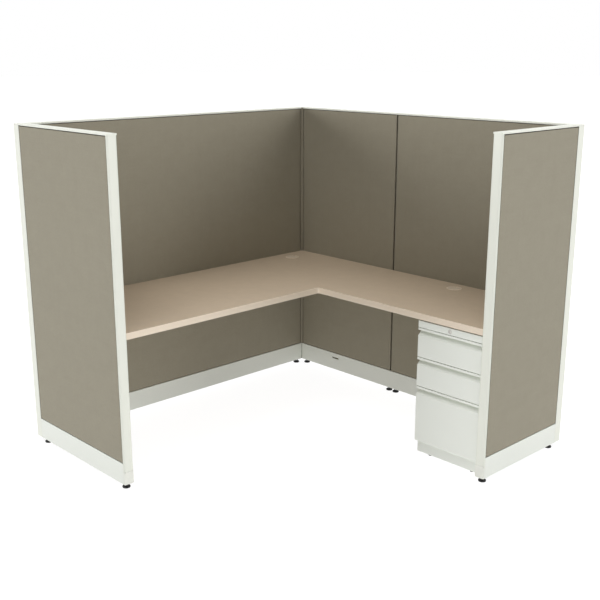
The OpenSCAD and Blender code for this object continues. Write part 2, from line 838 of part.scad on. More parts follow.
module grommet_sleeve() {
    soft = rim_h / 3;
    rotate_extrude($fn = 96) {
        polygon([
            [sleeve_r - sleeve_wall, -sleeve_h], [sleeve_r, -sleeve_h], [sleeve_r, 0],
            [grommet_d / 2, 0], [grommet_d / 2, rim_h - soft],
            [grommet_d / 2 - soft, rim_h], [cap_r + cap_play, rim_h],
            [cap_r + cap_play, cap_seat], [sleeve_r - sleeve_wall, cap_seat]
        ]);
    }
}
// A cap with a skirt in the sleeve and a notch for cables at its edge
module grommet_cap() {
    skirt_r = sleeve_r - sleeve_wall - hole_fit;
    skirt_h = sleeve_h / 3;
    cap_low = cap_seat + cap_play;
    cap_top = rim_h + cap_seat / 2;
    difference() {
        union() {
            translate([0, 0, cap_low]) cylinder(r = cap_r, h = cap_top - cap_low, $fn = 96);
            translate([0, 0, -skirt_h]) cylinder(r = skirt_r, h = skirt_h + cap_low, $fn = 96);
        }
        translate([0, 0, -skirt_h - overrun])
            cylinder(r = skirt_r - sleeve_wall, h = skirt_h + cap_seat + overrun, $fn = 96);
        translate([-notch_w / 2, skirt_r - notch_d, -skirt_h - overrun])
            cube([notch_w, grommet_d, skirt_h + cap_top + 2 * overrun]);
    }
}
module grommet_sleeves() {
    color(band_beige) station() for (at = grommet_places)
        translate([at[0], at[1], worktop_z]) grommet_sleeve();
}
module corner_grommet_cap() {
    color(laminate_beige) station()
        translate([grommet_places[0][0], grommet_places[0][1], worktop_z]) grommet_cap();
}
module right_grommet_cap() {
    color(laminate_beige) station()
        translate([grommet_places[1][0], grommet_places[1][1], worktop_z]) grommet_cap();
}

// Pedestal: x = 0 at its left side, y = 0 at the fronts' faces, z = 0 on the floor

module pedestal() { station() translate([ped_x, ped_y, 0]) children(); }

module pedestal_case() {
    h = case_top - case_clear;
    kick_top = file_bottom - front_gap;
    leveller_hole_d = stem_d * 0.8 + 2 * hole_fit;
    color(case_white) pedestal() difference() {
        translate([0, case_y, case_clear]) cube([ped_w, case_d, h]);
        translate([sheet_t, case_y + sheet_t, case_clear + sheet_t])
            cube([ped_w - 2 * sheet_t, case_d - 2 * sheet_t, h - 2 * sheet_t]);
        translate([sheet_t, case_y - overrun, kick_top])
            cube([ped_w - 2 * sheet_t, 2 * overrun + sheet_t, case_top - sheet_t - kick_top]);
        for (at = leveller_places) translate([at[0], at[1], case_clear - overrun])
            cylinder(d = leveller_hole_d, h = sheet_t + 2 * overrun);
        for (at = spacer_places)
            translate([at[0] - ped_x, at[1] - ped_y, case_top - sheet_t - overrun])
                cylinder(d = screw_d + 2 * hole_fit, h = sheet_t + 2 * overrun);
    }
}

leveller_places = [
    for (x = [leveller_x, ped_w - leveller_x])
        for (y = [case_y + leveller_y, case_y + case_d - leveller_y]) [x, y]
];
module pedestal_levellers() {
    foot_h = case_clear / 2;
    rod_d = stem_d * 0.8;
    color(glide_black) pedestal() for (at = leveller_places) translate([at[0], at[1], 0]) {
        cylinder(d1 = leveller_d, d2 = leveller_d * 0.85, h = foot_h);
        translate([0, 0, foot_h]) cylinder(d = rod_d * 1.5, h = case_clear - foot_h);
        cylinder(d = rod_d, h = case_clear + sheet_t + rail_h / 2);
        translate([0, 0, case_clear + sheet_t]) cylinder(d = rod_d * 1.8, h = rod_d * 0.6, $fn = 6);
    }
}
module pedestal_spacers() {
    color(glide_black) station() for (at = spacer_places)
        translate([at[0], at[1], case_top]) difference() {
            cylinder(d = leveller_d, h = ped_top_gap);
            translate([0, 0, -overrun])
                cylinder(d = screw_d + 2 * hole_fit, h = ped_top_gap + 2 * overrun);
        }
}

// Points of an arc of radius r about [cy, cz], from one angle to another
function arc(cy, cz, r, from, to, steps = 8) = [
    for (i = [0:steps]) let (a = from + (to - from) * i / steps) [cy + r * cos(a), cz + r * sin(a)]
];

// A front's side view: y runs back from its face, z up from its lower edge
function front_outline(h, r) = concat(
    arc(r, r, r, 180, 270),
    [[front_t, 0], [front_t, h], [lip_t / 2, h], [0, h - lip_t / 2], [0, h - lip_h],
     [lip_t, h - lip_h], [lip_t, h - lip_t], [recess_d, h - lip_t], [recess_d, h - lip_h - recess_back_h],
     [0, h - lip_h - recess_h]]
);
// The height of the sheet's inner face under the recess's sloping floor
function slope_z(y, h) = h - lip_h - recess_h + recess_rise * y / recess_d
    - sheet_t * norm([recess_d, recess_rise]) / recess_d;
function front_hollow(h, r) = concat(
    arc(r, r, r - sheet_t, 180, 270),
    [[front_t - sheet_t, sheet_t], [front_t - sheet_t, h - sheet_t],
     [recess_d + sheet_t, h - sheet_t], [recess_d + sheet_t, slope_z(recess_d + sheet_t, h)],
     [sheet_t, slope_z(sheet_t, h)]]
);

// A folded front with a full-width pull; its back is open behind the tray
module drawer_front(pitch_low, pitch_high, r, tray_h) {
    z0 = pitch_low + front_gap / 2;
    h = pitch_high - pitch_low - front_gap;
    w = ped_w - 2 * front_side;
    rim = tray_lift;
    tray_x = (ped_w - tray_w) / 2;
    color(case_white) pedestal() difference() {
        translate([front_side, 0, z0]) rotate([90, 0, 90]) linear_extrude(w)
            polygon(front_outline(h, r));
        translate([front_side + sheet_t, 0, z0]) rotate([90, 0, 90])
            linear_extrude(w - 2 * sheet_t) polygon(front_hollow(h, r));
        translate([tray_x + rim, front_t - 2 * sheet_t, z0 + tray_lift + rim])
            cube([tray_w - 2 * rim, 4 * sheet_t, tray_h - 2 * rim]);
    }
}
module upper_drawer_front() { drawer_front(middle_seam, upper_seam, box_edge_r, box_tray_h); }
module middle_drawer_front() { drawer_front(file_seam, middle_seam, box_edge_r, box_tray_h); }
module file_drawer_front() { drawer_front(file_bottom, file_seam, file_edge_r, file_tray_h); }

// The header is folded round a solid block that carries the lock
module pedestal_header() {
    z0 = upper_seam + front_gap / 2;
    h = case_top - z0;
    block_w = lock_d * 1.6;
    hollow_w = (ped_w - 2 * front_side - block_w) / 2 - sheet_t;
    color(case_white) pedestal() difference() {
        translate([front_side, 0, z0]) cube([ped_w - 2 * front_side, case_y, h]);
        for (x = [front_side + sheet_t, (ped_w + block_w) / 2])
            translate([x, sheet_t, z0 + sheet_t])
                cube([hollow_w, case_y, h - 2 * sheet_t]);
        translate([ped_w / 2, -overrun, lock_z]) rotate([-90, 0, 0])
            cylinder(d = lock_d + 2 * barrel_fit, h = case_y + 2 * overrun, $fn = 96);
    }
}

// A barrel with a key slot, and behind the header a cam whose pin drives the bar
cam_t = 2;
arm_t = 2;
pin_d = 4;
key_w = 2.2;
face_t = 1.2;
face_rim = 1.5;
lock_play = 0.5;
cam_y = case_y + lock_play;
arm_y = cam_y + cam_t + lock_play;
module lock_core() {
    face_d = lock_d + 2 * face_rim;
    color(steel_grey) pedestal() translate([ped_w / 2, -moving_gap, lock_z]) rotate([-90, 0, 0])
        difference() {
            union() {
                cylinder(d = lock_d, h = moving_gap + cam_y + cam_t, $fn = 96);
                translate([0, 0, -face_t])
                    cylinder(d1 = face_d - face_t, d2 = face_d, h = face_t, $fn = 96);
                translate([0, 0, moving_gap + cam_y]) {
                    translate([0, -pin_d, 0]) cube([lock_throw, 2 * pin_d, cam_t]);
                    translate([lock_throw, 0, 0]) cylinder(d = 2 * pin_d, h = cam_t);
                    translate([lock_throw, 0, 0]) cylinder(d = pin_d, h = arm_y + 2 * arm_t - cam_y);
                }
            }
            translate([-key_w / 2, -lock_d / 4, -face_t - overrun])
                cube([key_w, lock_d / 2, front_t / 2]);
        }
}

// Catches on the trays, and the tabs of the bar that drop in front of them
catch_h = 8;
catch_d = 4;
catch_y = rail_y - front_play - catch_d;
tab_play = 1;
tab_d = 6;
tab_gap = 2;
tab_y = catch_y - tab_gap - tab_d;
bar_w = catch_d + tab_gap + tab_d;
tab_reach = slide_gap * 0.7;
function catch_z(low, tray_h, share) = low + front_gap / 2 + tray_lift + tray_h * share;
box_catch_share = 0.86;
file_catch_share = 0.62;
catch_heights = [
    catch_z(middle_seam, box_tray_h, box_catch_share),
    catch_z(file_seam, box_tray_h, box_catch_share),
    catch_z(file_bottom, file_tray_h, file_catch_share)
];
module lock_bar() {
    wall_x = ped_w - sheet_t - moving_gap;
    arm_h = 2 * lock_throw;
    arm_x = ped_w / 2 - lock_throw;
    bar_low = catch_heights[2] - catch_h;
    slot_low = pin_d / 2 + lock_throw * 0.22 + moving_gap;
    slot_high = pin_d / 2 + moving_gap;
    color(steel_grey) pedestal() difference() {
        union() {
            translate([wall_x - bar_t, tab_y, bar_low])
                cube([bar_t, bar_w, lock_z + arm_h / 2 - bar_low]);
            translate([arm_x, arm_y, lock_z - arm_h / 2])
                cube([wall_x - arm_x, arm_t, arm_h]);
            translate([wall_x - bar_t, arm_y, lock_z - arm_h / 2])
                cube([bar_t, tab_y + bar_w - arm_y, arm_h]);
            for (z = catch_heights)
                translate([wall_x - tab_reach, tab_y, z + tab_play]) cube([tab_reach, tab_d, catch_h]);
        }
        translate([ped_w / 2 - pin_d / 2 - moving_gap, arm_y - overrun, lock_z - slot_low])
            cube([lock_throw + pin_d + 2 * moving_gap, arm_t + 2 * overrun, slot_low + slot_high]);
    }
}

// A folded tray; lift is its floor's height, with a catch on its right side
module tray(low, tray_h, catch_height) {
    x = (ped_w - tray_w) / 2;
    z = low + front_gap / 2 + tray_lift;
    reach = slide_gap * 0.6;
    color(case_white) pedestal() {
        difference() {
            translate([x, front_t, z]) cube([tray_w, tray_d, tray_h]);
            translate([x + sheet_t, front_t + sheet_t, z + sheet_t])
                cube([tray_w - 2 * sheet_t, tray_d - 2 * sheet_t, tray_h]);
        }
        translate([x + tray_w - sheet_t, catch_y, catch_height - catch_h])
            cube([sheet_t + reach, catch_d, catch_h]);
    }
}
module upper_drawer_tray() { tray(middle_seam, box_tray_h, catch_heights[0]); }
module middle_drawer_tray() { tray(file_seam, box_tray_h, catch_heights[1]); }
module file_drawer_tray() { tray(file_bottom, file_tray_h, catch_heights[2]); }

// Slides

box_slide_share = 0.45;
file_slide_share = 0.42;
function slide_z(low, tray_h, share) = low + front_gap / 2 + tray_lift + tray_h * share;
box_slides = [
    slide_z(middle_seam, box_tray_h, box_slide_share),
    slide_z(file_seam, box_tray_h, box_slide_share)
];
file_slide = slide_z(file_bottom, file_tray_h, file_slide_share);
web_gap = 0.5;

// A channel along the slide's length: its web at from_wall, its flanges reaching to reach
module channel(from_wall, reach, h, web_at_wall) {
    web_x = web_at_wall ? from_wall : reach - rail_t;
    translate([web_x, 0, -h / 2]) cube([rail_t, rail_l, h]);
    for (z = [-h / 2, h / 2 - rail_t])
        translate([from_wall, 0, z]) cube([reach - from_wall, rail_l, rail_t]);
}
// One channel on each side of a tray, at height z
module slide_pair(z) {
    pedestal() translate([0, rail_y, z]) {
        translate([sheet_t, 0, 0]) children();
        translate([ped_w - sheet_t, 0, 0]) mirror([1, 0, 0]) children();
    }
}
module fixed_rail(h) { channel(0, slide_gap * 0.7, h, true); }
module carried_rail(h, layers) {
    inset = layers * (rail_t + rail_run);
    channel(rail_t + web_gap + (layers - 1) * (rail_t + web_gap), slide_gap, h - 2 * inset, false);
}
module pedestal_fixed_rails() {
    color(steel_grey) {
        for (z = box_slides) slide_pair(z) fixed_rail(box_rail_h);
        slide_pair(file_slide) fixed_rail(file_rail_h);
    }
}
module file_middle_rails() {
    color(steel_grey) slide_pair(file_slide)
        channel(rail_t + web_gap, slide_gap - rail_t, file_rail_h - 2 * (rail_t + rail_run), true);
}
module upper_drawer_rails() {
    color(steel_grey) slide_pair(box_slides[0]) carried_rail(box_rail_h, 1);
}
module middle_drawer_rails() {
    color(steel_grey) slide_pair(box_slides[1]) carried_rail(box_rail_h, 1);
}
module file_drawer_rails() {
    color(steel_grey) slide_pair(file_slide) carried_rail(file_rail_h, 2);
}

// A moulded tray for pens across the front of the upper drawer
pencil_tray_d = 88;
pencil_tray_h = 18;
pencil_wall = 2;
pencil_cell_share = 0.3;
module pencil_tray() {
    w = tray_w - 2 * sheet_t - 2 * moving_gap;
    x = (ped_w - w) / 2;
    cell_w = (w - 3 * pencil_wall) * pencil_cell_share;
    z = middle_seam + front_gap / 2 + tray_lift + sheet_t;
    color(glide_black) pedestal() translate([x, front_t + sheet_t + moving_gap, z]) difference() {
        cube([w, pencil_tray_d, pencil_tray_h]);
        translate([pencil_wall, pencil_wall, pencil_wall])
            cube([cell_w, pencil_tray_d - 2 * pencil_wall, pencil_tray_h]);
        translate([2 * pencil_wall + cell_w, pencil_wall, pencil_wall])
            cube([w - cell_w - 3 * pencil_wall, pencil_tray_d - 2 * pencil_wall, pencil_tray_h]);
    }
}

// Flat bars on the file tray's side walls, for hanging folders
module file_hang_rails() {
    z = file_bottom + front_gap / 2 + tray_lift + file_tray_h;
    color(steel_grey) pedestal() for (x = [(ped_w - tray_w) / 2, (ped_w + tray_w) / 2 - hang_t])
        translate([x, front_t + tray_lift, z]) cube([hang_t, tray_d - 2 * tray_lift, hang_h]);
}

left_wall_frame();
back_narrow_frame();
back_wide_frame();
left_wing_frame();
right_wing_frame();
panel_cores();
left_wall_inner_skin();
left_wall_outer_skin();
back_narrow_inner_skin();
back_narrow_outer_skin();
back_wide_inner_skin();
back_wide_outer_skin();
left_wing_inner_skin();
left_wing_outer_skin();
right_wing_inner_skin();
right_wing_outer_skin();
back_inner_base_cover();
back_outer_base_cover();
left_inner_base_cover();
left_outer_base_cover();
left_wing_base_covers();
right_wing_base_covers();
back_top_cap();
left_top_cap();
left_wing_top_cap();
right_wing_top_cap();
corner_posts();
corner_post_covers();
corner_post_caps();
inner_corner_strips();
wing_end_trims();
base_end_caps();
panel_bolts();
panel_glides();
worktop();
worktop_edge_band();
worktop_brackets();
worktop_screws();
grommet_sleeves();
corner_grommet_cap();
right_grommet_cap();
pedestal_case();
pedestal_header();
lock_core();
lock_bar();
upper_drawer_front();
middle_drawer_front();
file_drawer_front();
upper_drawer_tray();
middle_drawer_tray();
file_drawer_tray();
upper_drawer_rails();
middle_drawer_rails();
file_drawer_rails();
pedestal_fixed_rails();
file_middle_rails();
pencil_tray();
file_hang_rails();
pedestal_levellers();
pedestal_spacers();
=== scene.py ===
"""The looks of a corner cubicle workstation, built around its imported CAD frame.

Lengths are metres. The origin is on the floor under the middle of the footprint, +X runs along
the back wall from the corner to the right wing, +Y points at the back wall and +Z is up.

Each finish is a small frozen class that builds one node material, and each sub-assembly is a
class that makes its pieces and dresses the CAD nodes that it keeps.
"""

import json
import logging
import math
from collections.abc import Iterable, Sequence
from dataclasses import dataclass
from enum import Enum
from functools import cached_property
from typing import Any

import bmesh
import bpy
from bmesh.types import BMesh, BMVert
from bpy.types import ID, Material, Mesh, Node, NodeSocket, Object, World
from mathutils import Color, Matrix, Vector

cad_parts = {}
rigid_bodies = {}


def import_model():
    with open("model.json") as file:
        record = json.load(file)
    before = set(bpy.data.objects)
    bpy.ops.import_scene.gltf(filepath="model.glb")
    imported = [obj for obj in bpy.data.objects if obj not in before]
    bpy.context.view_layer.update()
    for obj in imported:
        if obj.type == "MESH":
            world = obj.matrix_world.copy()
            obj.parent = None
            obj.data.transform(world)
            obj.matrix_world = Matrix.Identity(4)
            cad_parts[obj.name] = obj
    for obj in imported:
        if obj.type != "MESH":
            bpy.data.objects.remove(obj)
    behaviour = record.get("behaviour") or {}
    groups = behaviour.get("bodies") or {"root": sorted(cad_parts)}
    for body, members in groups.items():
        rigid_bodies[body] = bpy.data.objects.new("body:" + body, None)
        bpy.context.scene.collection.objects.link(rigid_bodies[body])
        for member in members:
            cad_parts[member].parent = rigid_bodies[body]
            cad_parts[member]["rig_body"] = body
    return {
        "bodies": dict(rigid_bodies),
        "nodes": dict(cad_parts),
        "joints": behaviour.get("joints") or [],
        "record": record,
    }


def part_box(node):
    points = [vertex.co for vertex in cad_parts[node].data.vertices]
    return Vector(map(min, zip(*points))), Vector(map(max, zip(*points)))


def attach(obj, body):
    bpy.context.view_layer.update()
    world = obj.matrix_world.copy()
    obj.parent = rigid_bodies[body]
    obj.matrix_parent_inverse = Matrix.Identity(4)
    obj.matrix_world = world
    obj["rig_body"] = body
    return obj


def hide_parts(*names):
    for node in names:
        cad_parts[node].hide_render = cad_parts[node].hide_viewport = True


log = logging.getLogger("workstation")

Triple = tuple[float, float, float]
Colour = Triple
Span = tuple[float, float]
Point2 = tuple[float, float]
Inputs = dict[str | int, Any]

# The body that doesn't move.
STATION = "station"
CLOTH_MAP = "cloth"
MM = 0.001
QUARTER = math.pi / 2
# The photograph's width in pixels.
PICTURE = 600
SCREEN_WHITE = 255
WHITE: Colour = (1.0, 1.0, 1.0)
WHOLE: Span = (0.0, 1.0)
FADE: Span = (1.0, 0.0)
# Most of a soft noise lies in this span.
NOISE_SPAN: Span = (0.3, 0.7)
# Points of a CAD mesh that are closer than this are one point.
MERGE = 2e-6
# Degrees: faces that meet at less are one face, edges that are sharper are rounded, and edges
# that are sharper stay sharp.
FLAT = 0.4
ROUNDED = 32.0
SHARP = 35.0


def srgb(red: int, green: int, blue: int) -> Colour:
    """Turn screen values from 0 to 255 into a linear colour."""
    screen = Color((red / SCREEN_WHITE, green / SCREEN_WHITE, blue / SCREEN_WHITE))
    return tuple(screen.from_srgb_to_scene_linear())


def tinted(colour: Colour, share: float) -> Colour:
    """Multiply a linear colour's channels, with none over 1."""
    return tuple(min(1.0, channel * share) for channel in colour)


# Node trees


class NodeTree:
    """A node tree that is filled from Python."""

    def __init__(self, tree: bpy.types.NodeTree) -> None:
        """Take a tree over."""
        self.tree = tree

    def node(self, kind: str, inputs: Inputs | None = None, **settings: Any) -> Node:
        """Add a node, set its settings and then fill its sockets.

        Args:
            kind: The node's type, such as ShaderNodeMath.
            inputs: What each socket holds, by its name or number: a value, a signal, an output
                socket, a node that gives its first output, or a list of nodes to join.
            settings: The node's properties, such as a Math node's operation.

        Returns:
            The new node.
        """
        made = self.tree.nodes.new(kind)
        for name, setting in settings.items():
            setattr(made, name, setting)
        for key, value in (inputs or {}).items():
            socket = made.inputs[key]
            for part in value if isinstance(value, list) else [value]:
                source = part.outputs[0] if isinstance(part, Node) else part
                source = source.socket if isinstance(source, Signal) else source
                if isinstance(source, NodeSocket):
                    self.tree.links.new(source, socket)
                elif isinstance(source, tuple) and socket.type == "RGBA":
                    socket.default_value = (*source, 1.0)
                else:
                    socket.default_value = source
        return made

    def vector(self, x: Any, y: Any, z: Any) -> Node:
        """Join three values into a vector."""
        return self.node("ShaderNodeCombineXYZ", {0: x, 1: y, 2: z})


class Signal:
    """A shader socket that takes part in Python expressions; each operator adds a Math node."""

    def __init__(self, graph: "ShaderGraph", socket: NodeSocket) -> None:
        """Wrap an output socket of a graph's node."""
        self.graph = graph
        self.socket = socket

    def __add__(self, other: "Signal | float") -> "Signal":
        """Return self + other."""
        return self.graph.math("ADD", self, other)

    __radd__ = __add__

    def __sub__(self, other: "Signal | float") -> "Signal":
        """Return self - other."""
        return self.graph.math("SUBTRACT", self, other)

    def __rsub__(self, other: float) -> "Signal":
        """Return other - self."""
        return self.graph.math("SUBTRACT", other, self)

    def __mul__(self, other: "Signal | float") -> "Signal":
        """Return self * other."""
        return self.graph.math("MULTIPLY", self, other)

    __rmul__ = __mul__

    def __truediv__(self, other: "Signal | float") -> "Signal":
        """Return self / other."""
        return self.graph.math("DIVIDE", self, other)

    def __rtruediv__(self, other: float) -> "Signal":
        """Return other / self."""
        return self.graph.math("DIVIDE", other, self)

    def floor(self) -> "Signal":
        """Return the whole number below."""
        return self.graph.math("FLOOR", self)

    def fract(self) -> "Signal":
        """Return what is left above the whole number below."""
        return self.graph.math("FRACT", self)

    def wrap(self, span: float) -> "Signal":
        """Return the floored remainder of a division by span."""
        return self.graph.math("FLOORED_MODULO", self, span)

    def dome(self) -> "Signal":
        """Return the height of a half circle over a signal from -1 to 1."""
        return self.graph.math("SQRT", self.graph.math("MAXIMUM", 1 - self * self, 0.0))

    def swing(self, reach: float, middle: float = 0.5) -> "Signal":
        """Return how far the signal is from its middle, times a reach."""
        return (self - middle) * reach

    def blend(self, other: "Signal", share: "Signal | float") -> "Signal":
        """Return the signal with a share of another one in it."""
        return self * (1 - share) + other * share


@dataclass(frozen=True)
class Grain:
    """Soft noise: its grains per metre, its finer layers, their strength and its stretch."""

    per_metre: float
    layers: float = 2.0
    strength: float = 0.5
    stretch: Triple | None = None


class ShaderGraph(NodeTree):
    """The node tree of a material or of the sky."""

    def __init__(self, owner: Material | World) -> None:
        """Start with an empty tree.

        Args:
            owner: What the tree belongs to.
        """
        owner.use_nodes = True
        super().__init__(owner.node_tree)
        self.tree.nodes.clear()
        self.owner = owner

    def out(
        self, kind: str, inputs: Inputs | None = None, output: str | int = 0, **settings: Any
    ) -> Signal:
        """Add a node and return one of its outputs."""
        return Signal(self, self.node(kind, inputs, **settings).outputs[output])

    def math(self, operation: str, *values: Signal | float) -> Signal:
        """Add a Math node."""
        return self.out("ShaderNodeMath", dict(enumerate(values)), operation=operation)

    @cached_property
    def place(self) -> Signal:
        """The surface point in the object's own coordinates."""
        return self.out("ShaderNodeTexCoord", output="Object")

    def axes(self, point: Signal) -> list[Signal]:
        """Return the three parts of a vector."""
        parts = self.node("ShaderNodeSeparateXYZ", {0: point})
        return [Signal(self, socket) for socket in parts.outputs]

    def remap(self, value: Signal, span: Span, onto: Span = WHOLE) -> Signal:
        """Map a signal from one span onto another, smoothly and with its ends held.

        Args:
            value: The signal.
            span: The ends of the first span.
            onto: What they become.

        Returns:
            The mapped signal.
        """
        names = ("Value", "From Min", "From Max", "To Min", "To Max")
        numbers = dict(zip(names, (value, *span, *onto)))
        return self.out("ShaderNodeMapRange", numbers, interpolation_type="SMOOTHSTEP")

    def mix(
        self, share: Signal | float, first: Any, second: Any, blend: str = "MIX"
    ) -> Signal:
        """Mix a share of the second colour into the first; the share is held from 0 to 1."""
        colours = {0: share, 6: first, 7: second}
        return self.out("ShaderNodeMix", colours, 2, data_type="RGBA", blend_type=blend)

    def tints(self, share: Signal, base: Colour, tints: Span) -> Signal:
        """Go from a darker to a lighter tint of a colour."""
        return self.mix(share, tinted(base, tints[0]), tinted(base, tints[1]))

    def grain(self, grain: Grain, point: Signal | Node | None = None) -> Signal:
        """Add soft noise from 0 to 1.

        Args:
            grain: The noise.
            point: Where it is read, or nothing for the object's own coordinates.

        Returns:
            The noise.
        """
        if point is None:
            point = self.place
        if grain.stretch:
            pair = {0: point, 1: grain.stretch}
            point = self.out("ShaderNodeVectorMath", pair, operation="MULTIPLY")
        return self.out(
            "ShaderNodeTexNoise",
            {
                "Vector": point,
                "Scale": grain.per_metre,
                "Detail": grain.layers,
                "Roughness": grain.strength,
            },
            noise_dimensions="3D",
        )

    def speckle(self, x: Signal | float, y: Signal | float, seed: float) -> Signal:
        """Return a random number from 0 to 1 for each pair of whole numbers and a seed."""
        spot = {"Vector": self.vector(x, y, seed)}
        return self.out("ShaderNodeTexWhiteNoise", spot, noise_dimensions="3D")

    def flecks(self, per_metre: float) -> Signal:
        """Return the distance to the nearest of many scattered points, in cells."""
        cells = {"Vector": self.place, "Scale": per_metre}
        return self.out("ShaderNodeTexVoronoi", cells, feature="F1")

    def bump(self, height: Signal, depth: float) -> Signal:
        """Turn a height from 0 to 1 into a normal; a height of 1 is depth metres."""
        return self.out("ShaderNodeBump", {"Height": height, "Distance": depth, "Strength": 1.0})

    def surface(
        self,
        colour: Signal,
        roughness: Signal | float,
        normal: Signal | None = None,
        more: Inputs | None = None,
    ) -> Material:
        """End the tree with a Principled shader.

        Args:
            colour: Its base colour.
            roughness: Its roughness.
            normal: Its bumped normal.
            more: What its other sockets hold.

        Returns:
            The finished material.
        """
        inputs = {"Base Color": colour, "Roughness": roughness, **(more or {})}
        if normal:
            inputs["Normal"] = normal
        shader = self.node("ShaderNodeBsdfPrincipled", inputs)
        self.node("ShaderNodeOutputMaterial", {0: shader})
        return self.owner


# Finishes


@dataclass(frozen=True)
class Finish:
    """What every finish has: a name, the record's slot that it stands for and its colour."""

    name: str
    slot: str
    base: Colour

    def graph(self) -> ShaderGraph:
        """Return the empty graph of the finish's new material."""
        return ShaderGraph(bpy.data.materials.new(self.name))

    def build(self) -> Material:
        """Build the finish's material."""
        raise NotImplementedError

    @cached_property
    def material(self) -> Material:
        """The finish's material, built when it is first asked for."""
        return self.build()


@dataclass(frozen=True)
class WovenCloth(Finish):
    """Plain-woven panel fabric of heathered yarn, laid out by the piece's UV map in metres."""

    thread: float = 1.05 * MM
    depth: float = 0.22 * MM
    dip: float = 0.55
    heather: float = 0.16
    slub: Grain = Grain(1.0)
    slubs_across: float = 900.0
    slubs_along: float = 60.0
    slub_share: float = 0.7
    slub_height: float = 0.2
    mottle: float = 0.07
    clouds: Grain = Grain(14.0, 3.0, 0.6)
    small_clouds: Grain = Grain(70.0)
    small_share: float = 0.6
    cloud_middle: float = 0.8
    tints: Span = (0.62, 1.38)
    # Painted shade in the crevices between yarns: the heights over which it fades out, then the
    # share of the colour left at the bottom and at the top.
    crevice: Span = (0.1, 0.7)
    crevice_painted_shade: Span = (0.74, 1.03)
    roughness: Span = (0.97, 0.86)
    seeds: Triple = (3.0, 7.0, 4.0)

    def build(self) -> Material:
        """Build yarns that pass over and under each other, each with its own shade, and painted
        shade in the crevices between them.

        Returns:
            The cloth's material.
        """
        graph = self.graph()
        cloth = graph.out("ShaderNodeUVMap", uv_map=CLOTH_MAP)
        u, v, _ = graph.axes(cloth)
        across, along = u / self.thread, v / self.thread
        column, row = across.floor(), along.floor()
        warp_dome, weft_dome = (yarn.fract() * 2 - 1 for yarn in (across, along))
        warp_dome, weft_dome = warp_dome.dome(), weft_dome.dome()
        warp = warp_dome * (1 - self.dip + self.dip * weft_dome)
        weft = weft_dome * (1 - self.dip + self.dip * warp_dome)
        warp_on_top = (column + row).wrap(2.0)
        height = weft.blend(warp, warp_on_top)
        warp_seed, weft_seed, cross_seed = self.seeds
        fine, long = self.slubs_across, self.slubs_along
        slub = graph.grain(self.slub, graph.vector(u * fine, v * long, 0.0))
        cross = graph.grain(self.slub, graph.vector(u * long, v * fine, cross_seed))
        warp_shade = graph.speckle(column, 0.0, warp_seed).blend(slub, self.slub_share)
        weft_shade = graph.speckle(0.0, row, weft_seed).blend(cross, self.slub_share)
        shade = weft_shade.blend(warp_shade, warp_on_top)
        small = graph.grain(self.small_clouds, cloth) * self.small_share
        clouds = graph.grain(self.clouds, cloth) + small
        level = shade.swing(2 * self.heather) + clouds.swing(2 * self.mottle, self.cloud_middle)
        yarn = graph.tints(level + 0.5, self.base, self.tints)
        # Painted shade: the yarns' colour is darkened to 0.74 of it at the bottom of the crevices
        # between them.
        crevice = graph.remap(height, self.crevice, self.crevice_painted_shade)
        yarn_with_painted_shade = graph.mix(1.0, yarn, graph.vector(crevice, crevice, crevice), "MULTIPLY")
        return graph.surface(
            yarn_with_painted_shade,
            graph.remap(height, WHOLE, self.roughness),
            graph.bump(height + slub * self.slub_height, self.depth),
            {"Specular IOR Level": 0.2, "Sheen Weight": 0.08, "Sheen Roughness": 0.5},
        )


@dataclass(frozen=True)
class PowderCoat(Finish):
    """Fine powder coat with a faint orange peel, dulled a little near the floor."""

    roughness: float = 0.42
    depth: float = 0.03 * MM
    fine_peel: Grain = Grain(620.0)
    broad_peel: Grain = Grain(150.0, 1.0)
    broad_share: float = 0.3
    tone: Grain = Grain(3.0)
    tints: Span = (0.985, 1.0)
    wipes: Grain = Grain(6.0, 4.0, 0.7, (3.0, 3.0, 60.0))
    wipes_dull: float = 0.14
    dust: Grain = Grain(30.0, 4.0, 0.7)
    dust_height: Span = (0.02, 0.16)
    dust_share: float = 0.05
    dust_tint: float = 0.55
    dust_dulls: float = 0.12

    def build(self) -> Material:
        """Build the coat from a peel, a slow change of shade and thin wipe marks.

        Returns:
            The coat's material.
        """
        graph = self.graph()
        _, _, z = graph.axes(graph.place)
        peel = graph.grain(self.fine_peel).blend(graph.grain(self.broad_peel), self.broad_share)
        wipes = graph.grain(self.wipes)
        dust = graph.remap(z, self.dust_height, FADE) * graph.grain(self.dust)
        tone = graph.remap(graph.grain(self.tone), NOISE_SPAN)
        paint = graph.tints(tone, self.base, self.tints)
        return graph.surface(
            graph.mix(dust * self.dust_share, paint, tinted(self.base, self.dust_tint)),
            self.roughness + wipes.swing(self.wipes_dull) + dust * self.dust_dulls,
            graph.bump(peel, self.depth),
            {"Specular IOR Level": 0.45},
        )


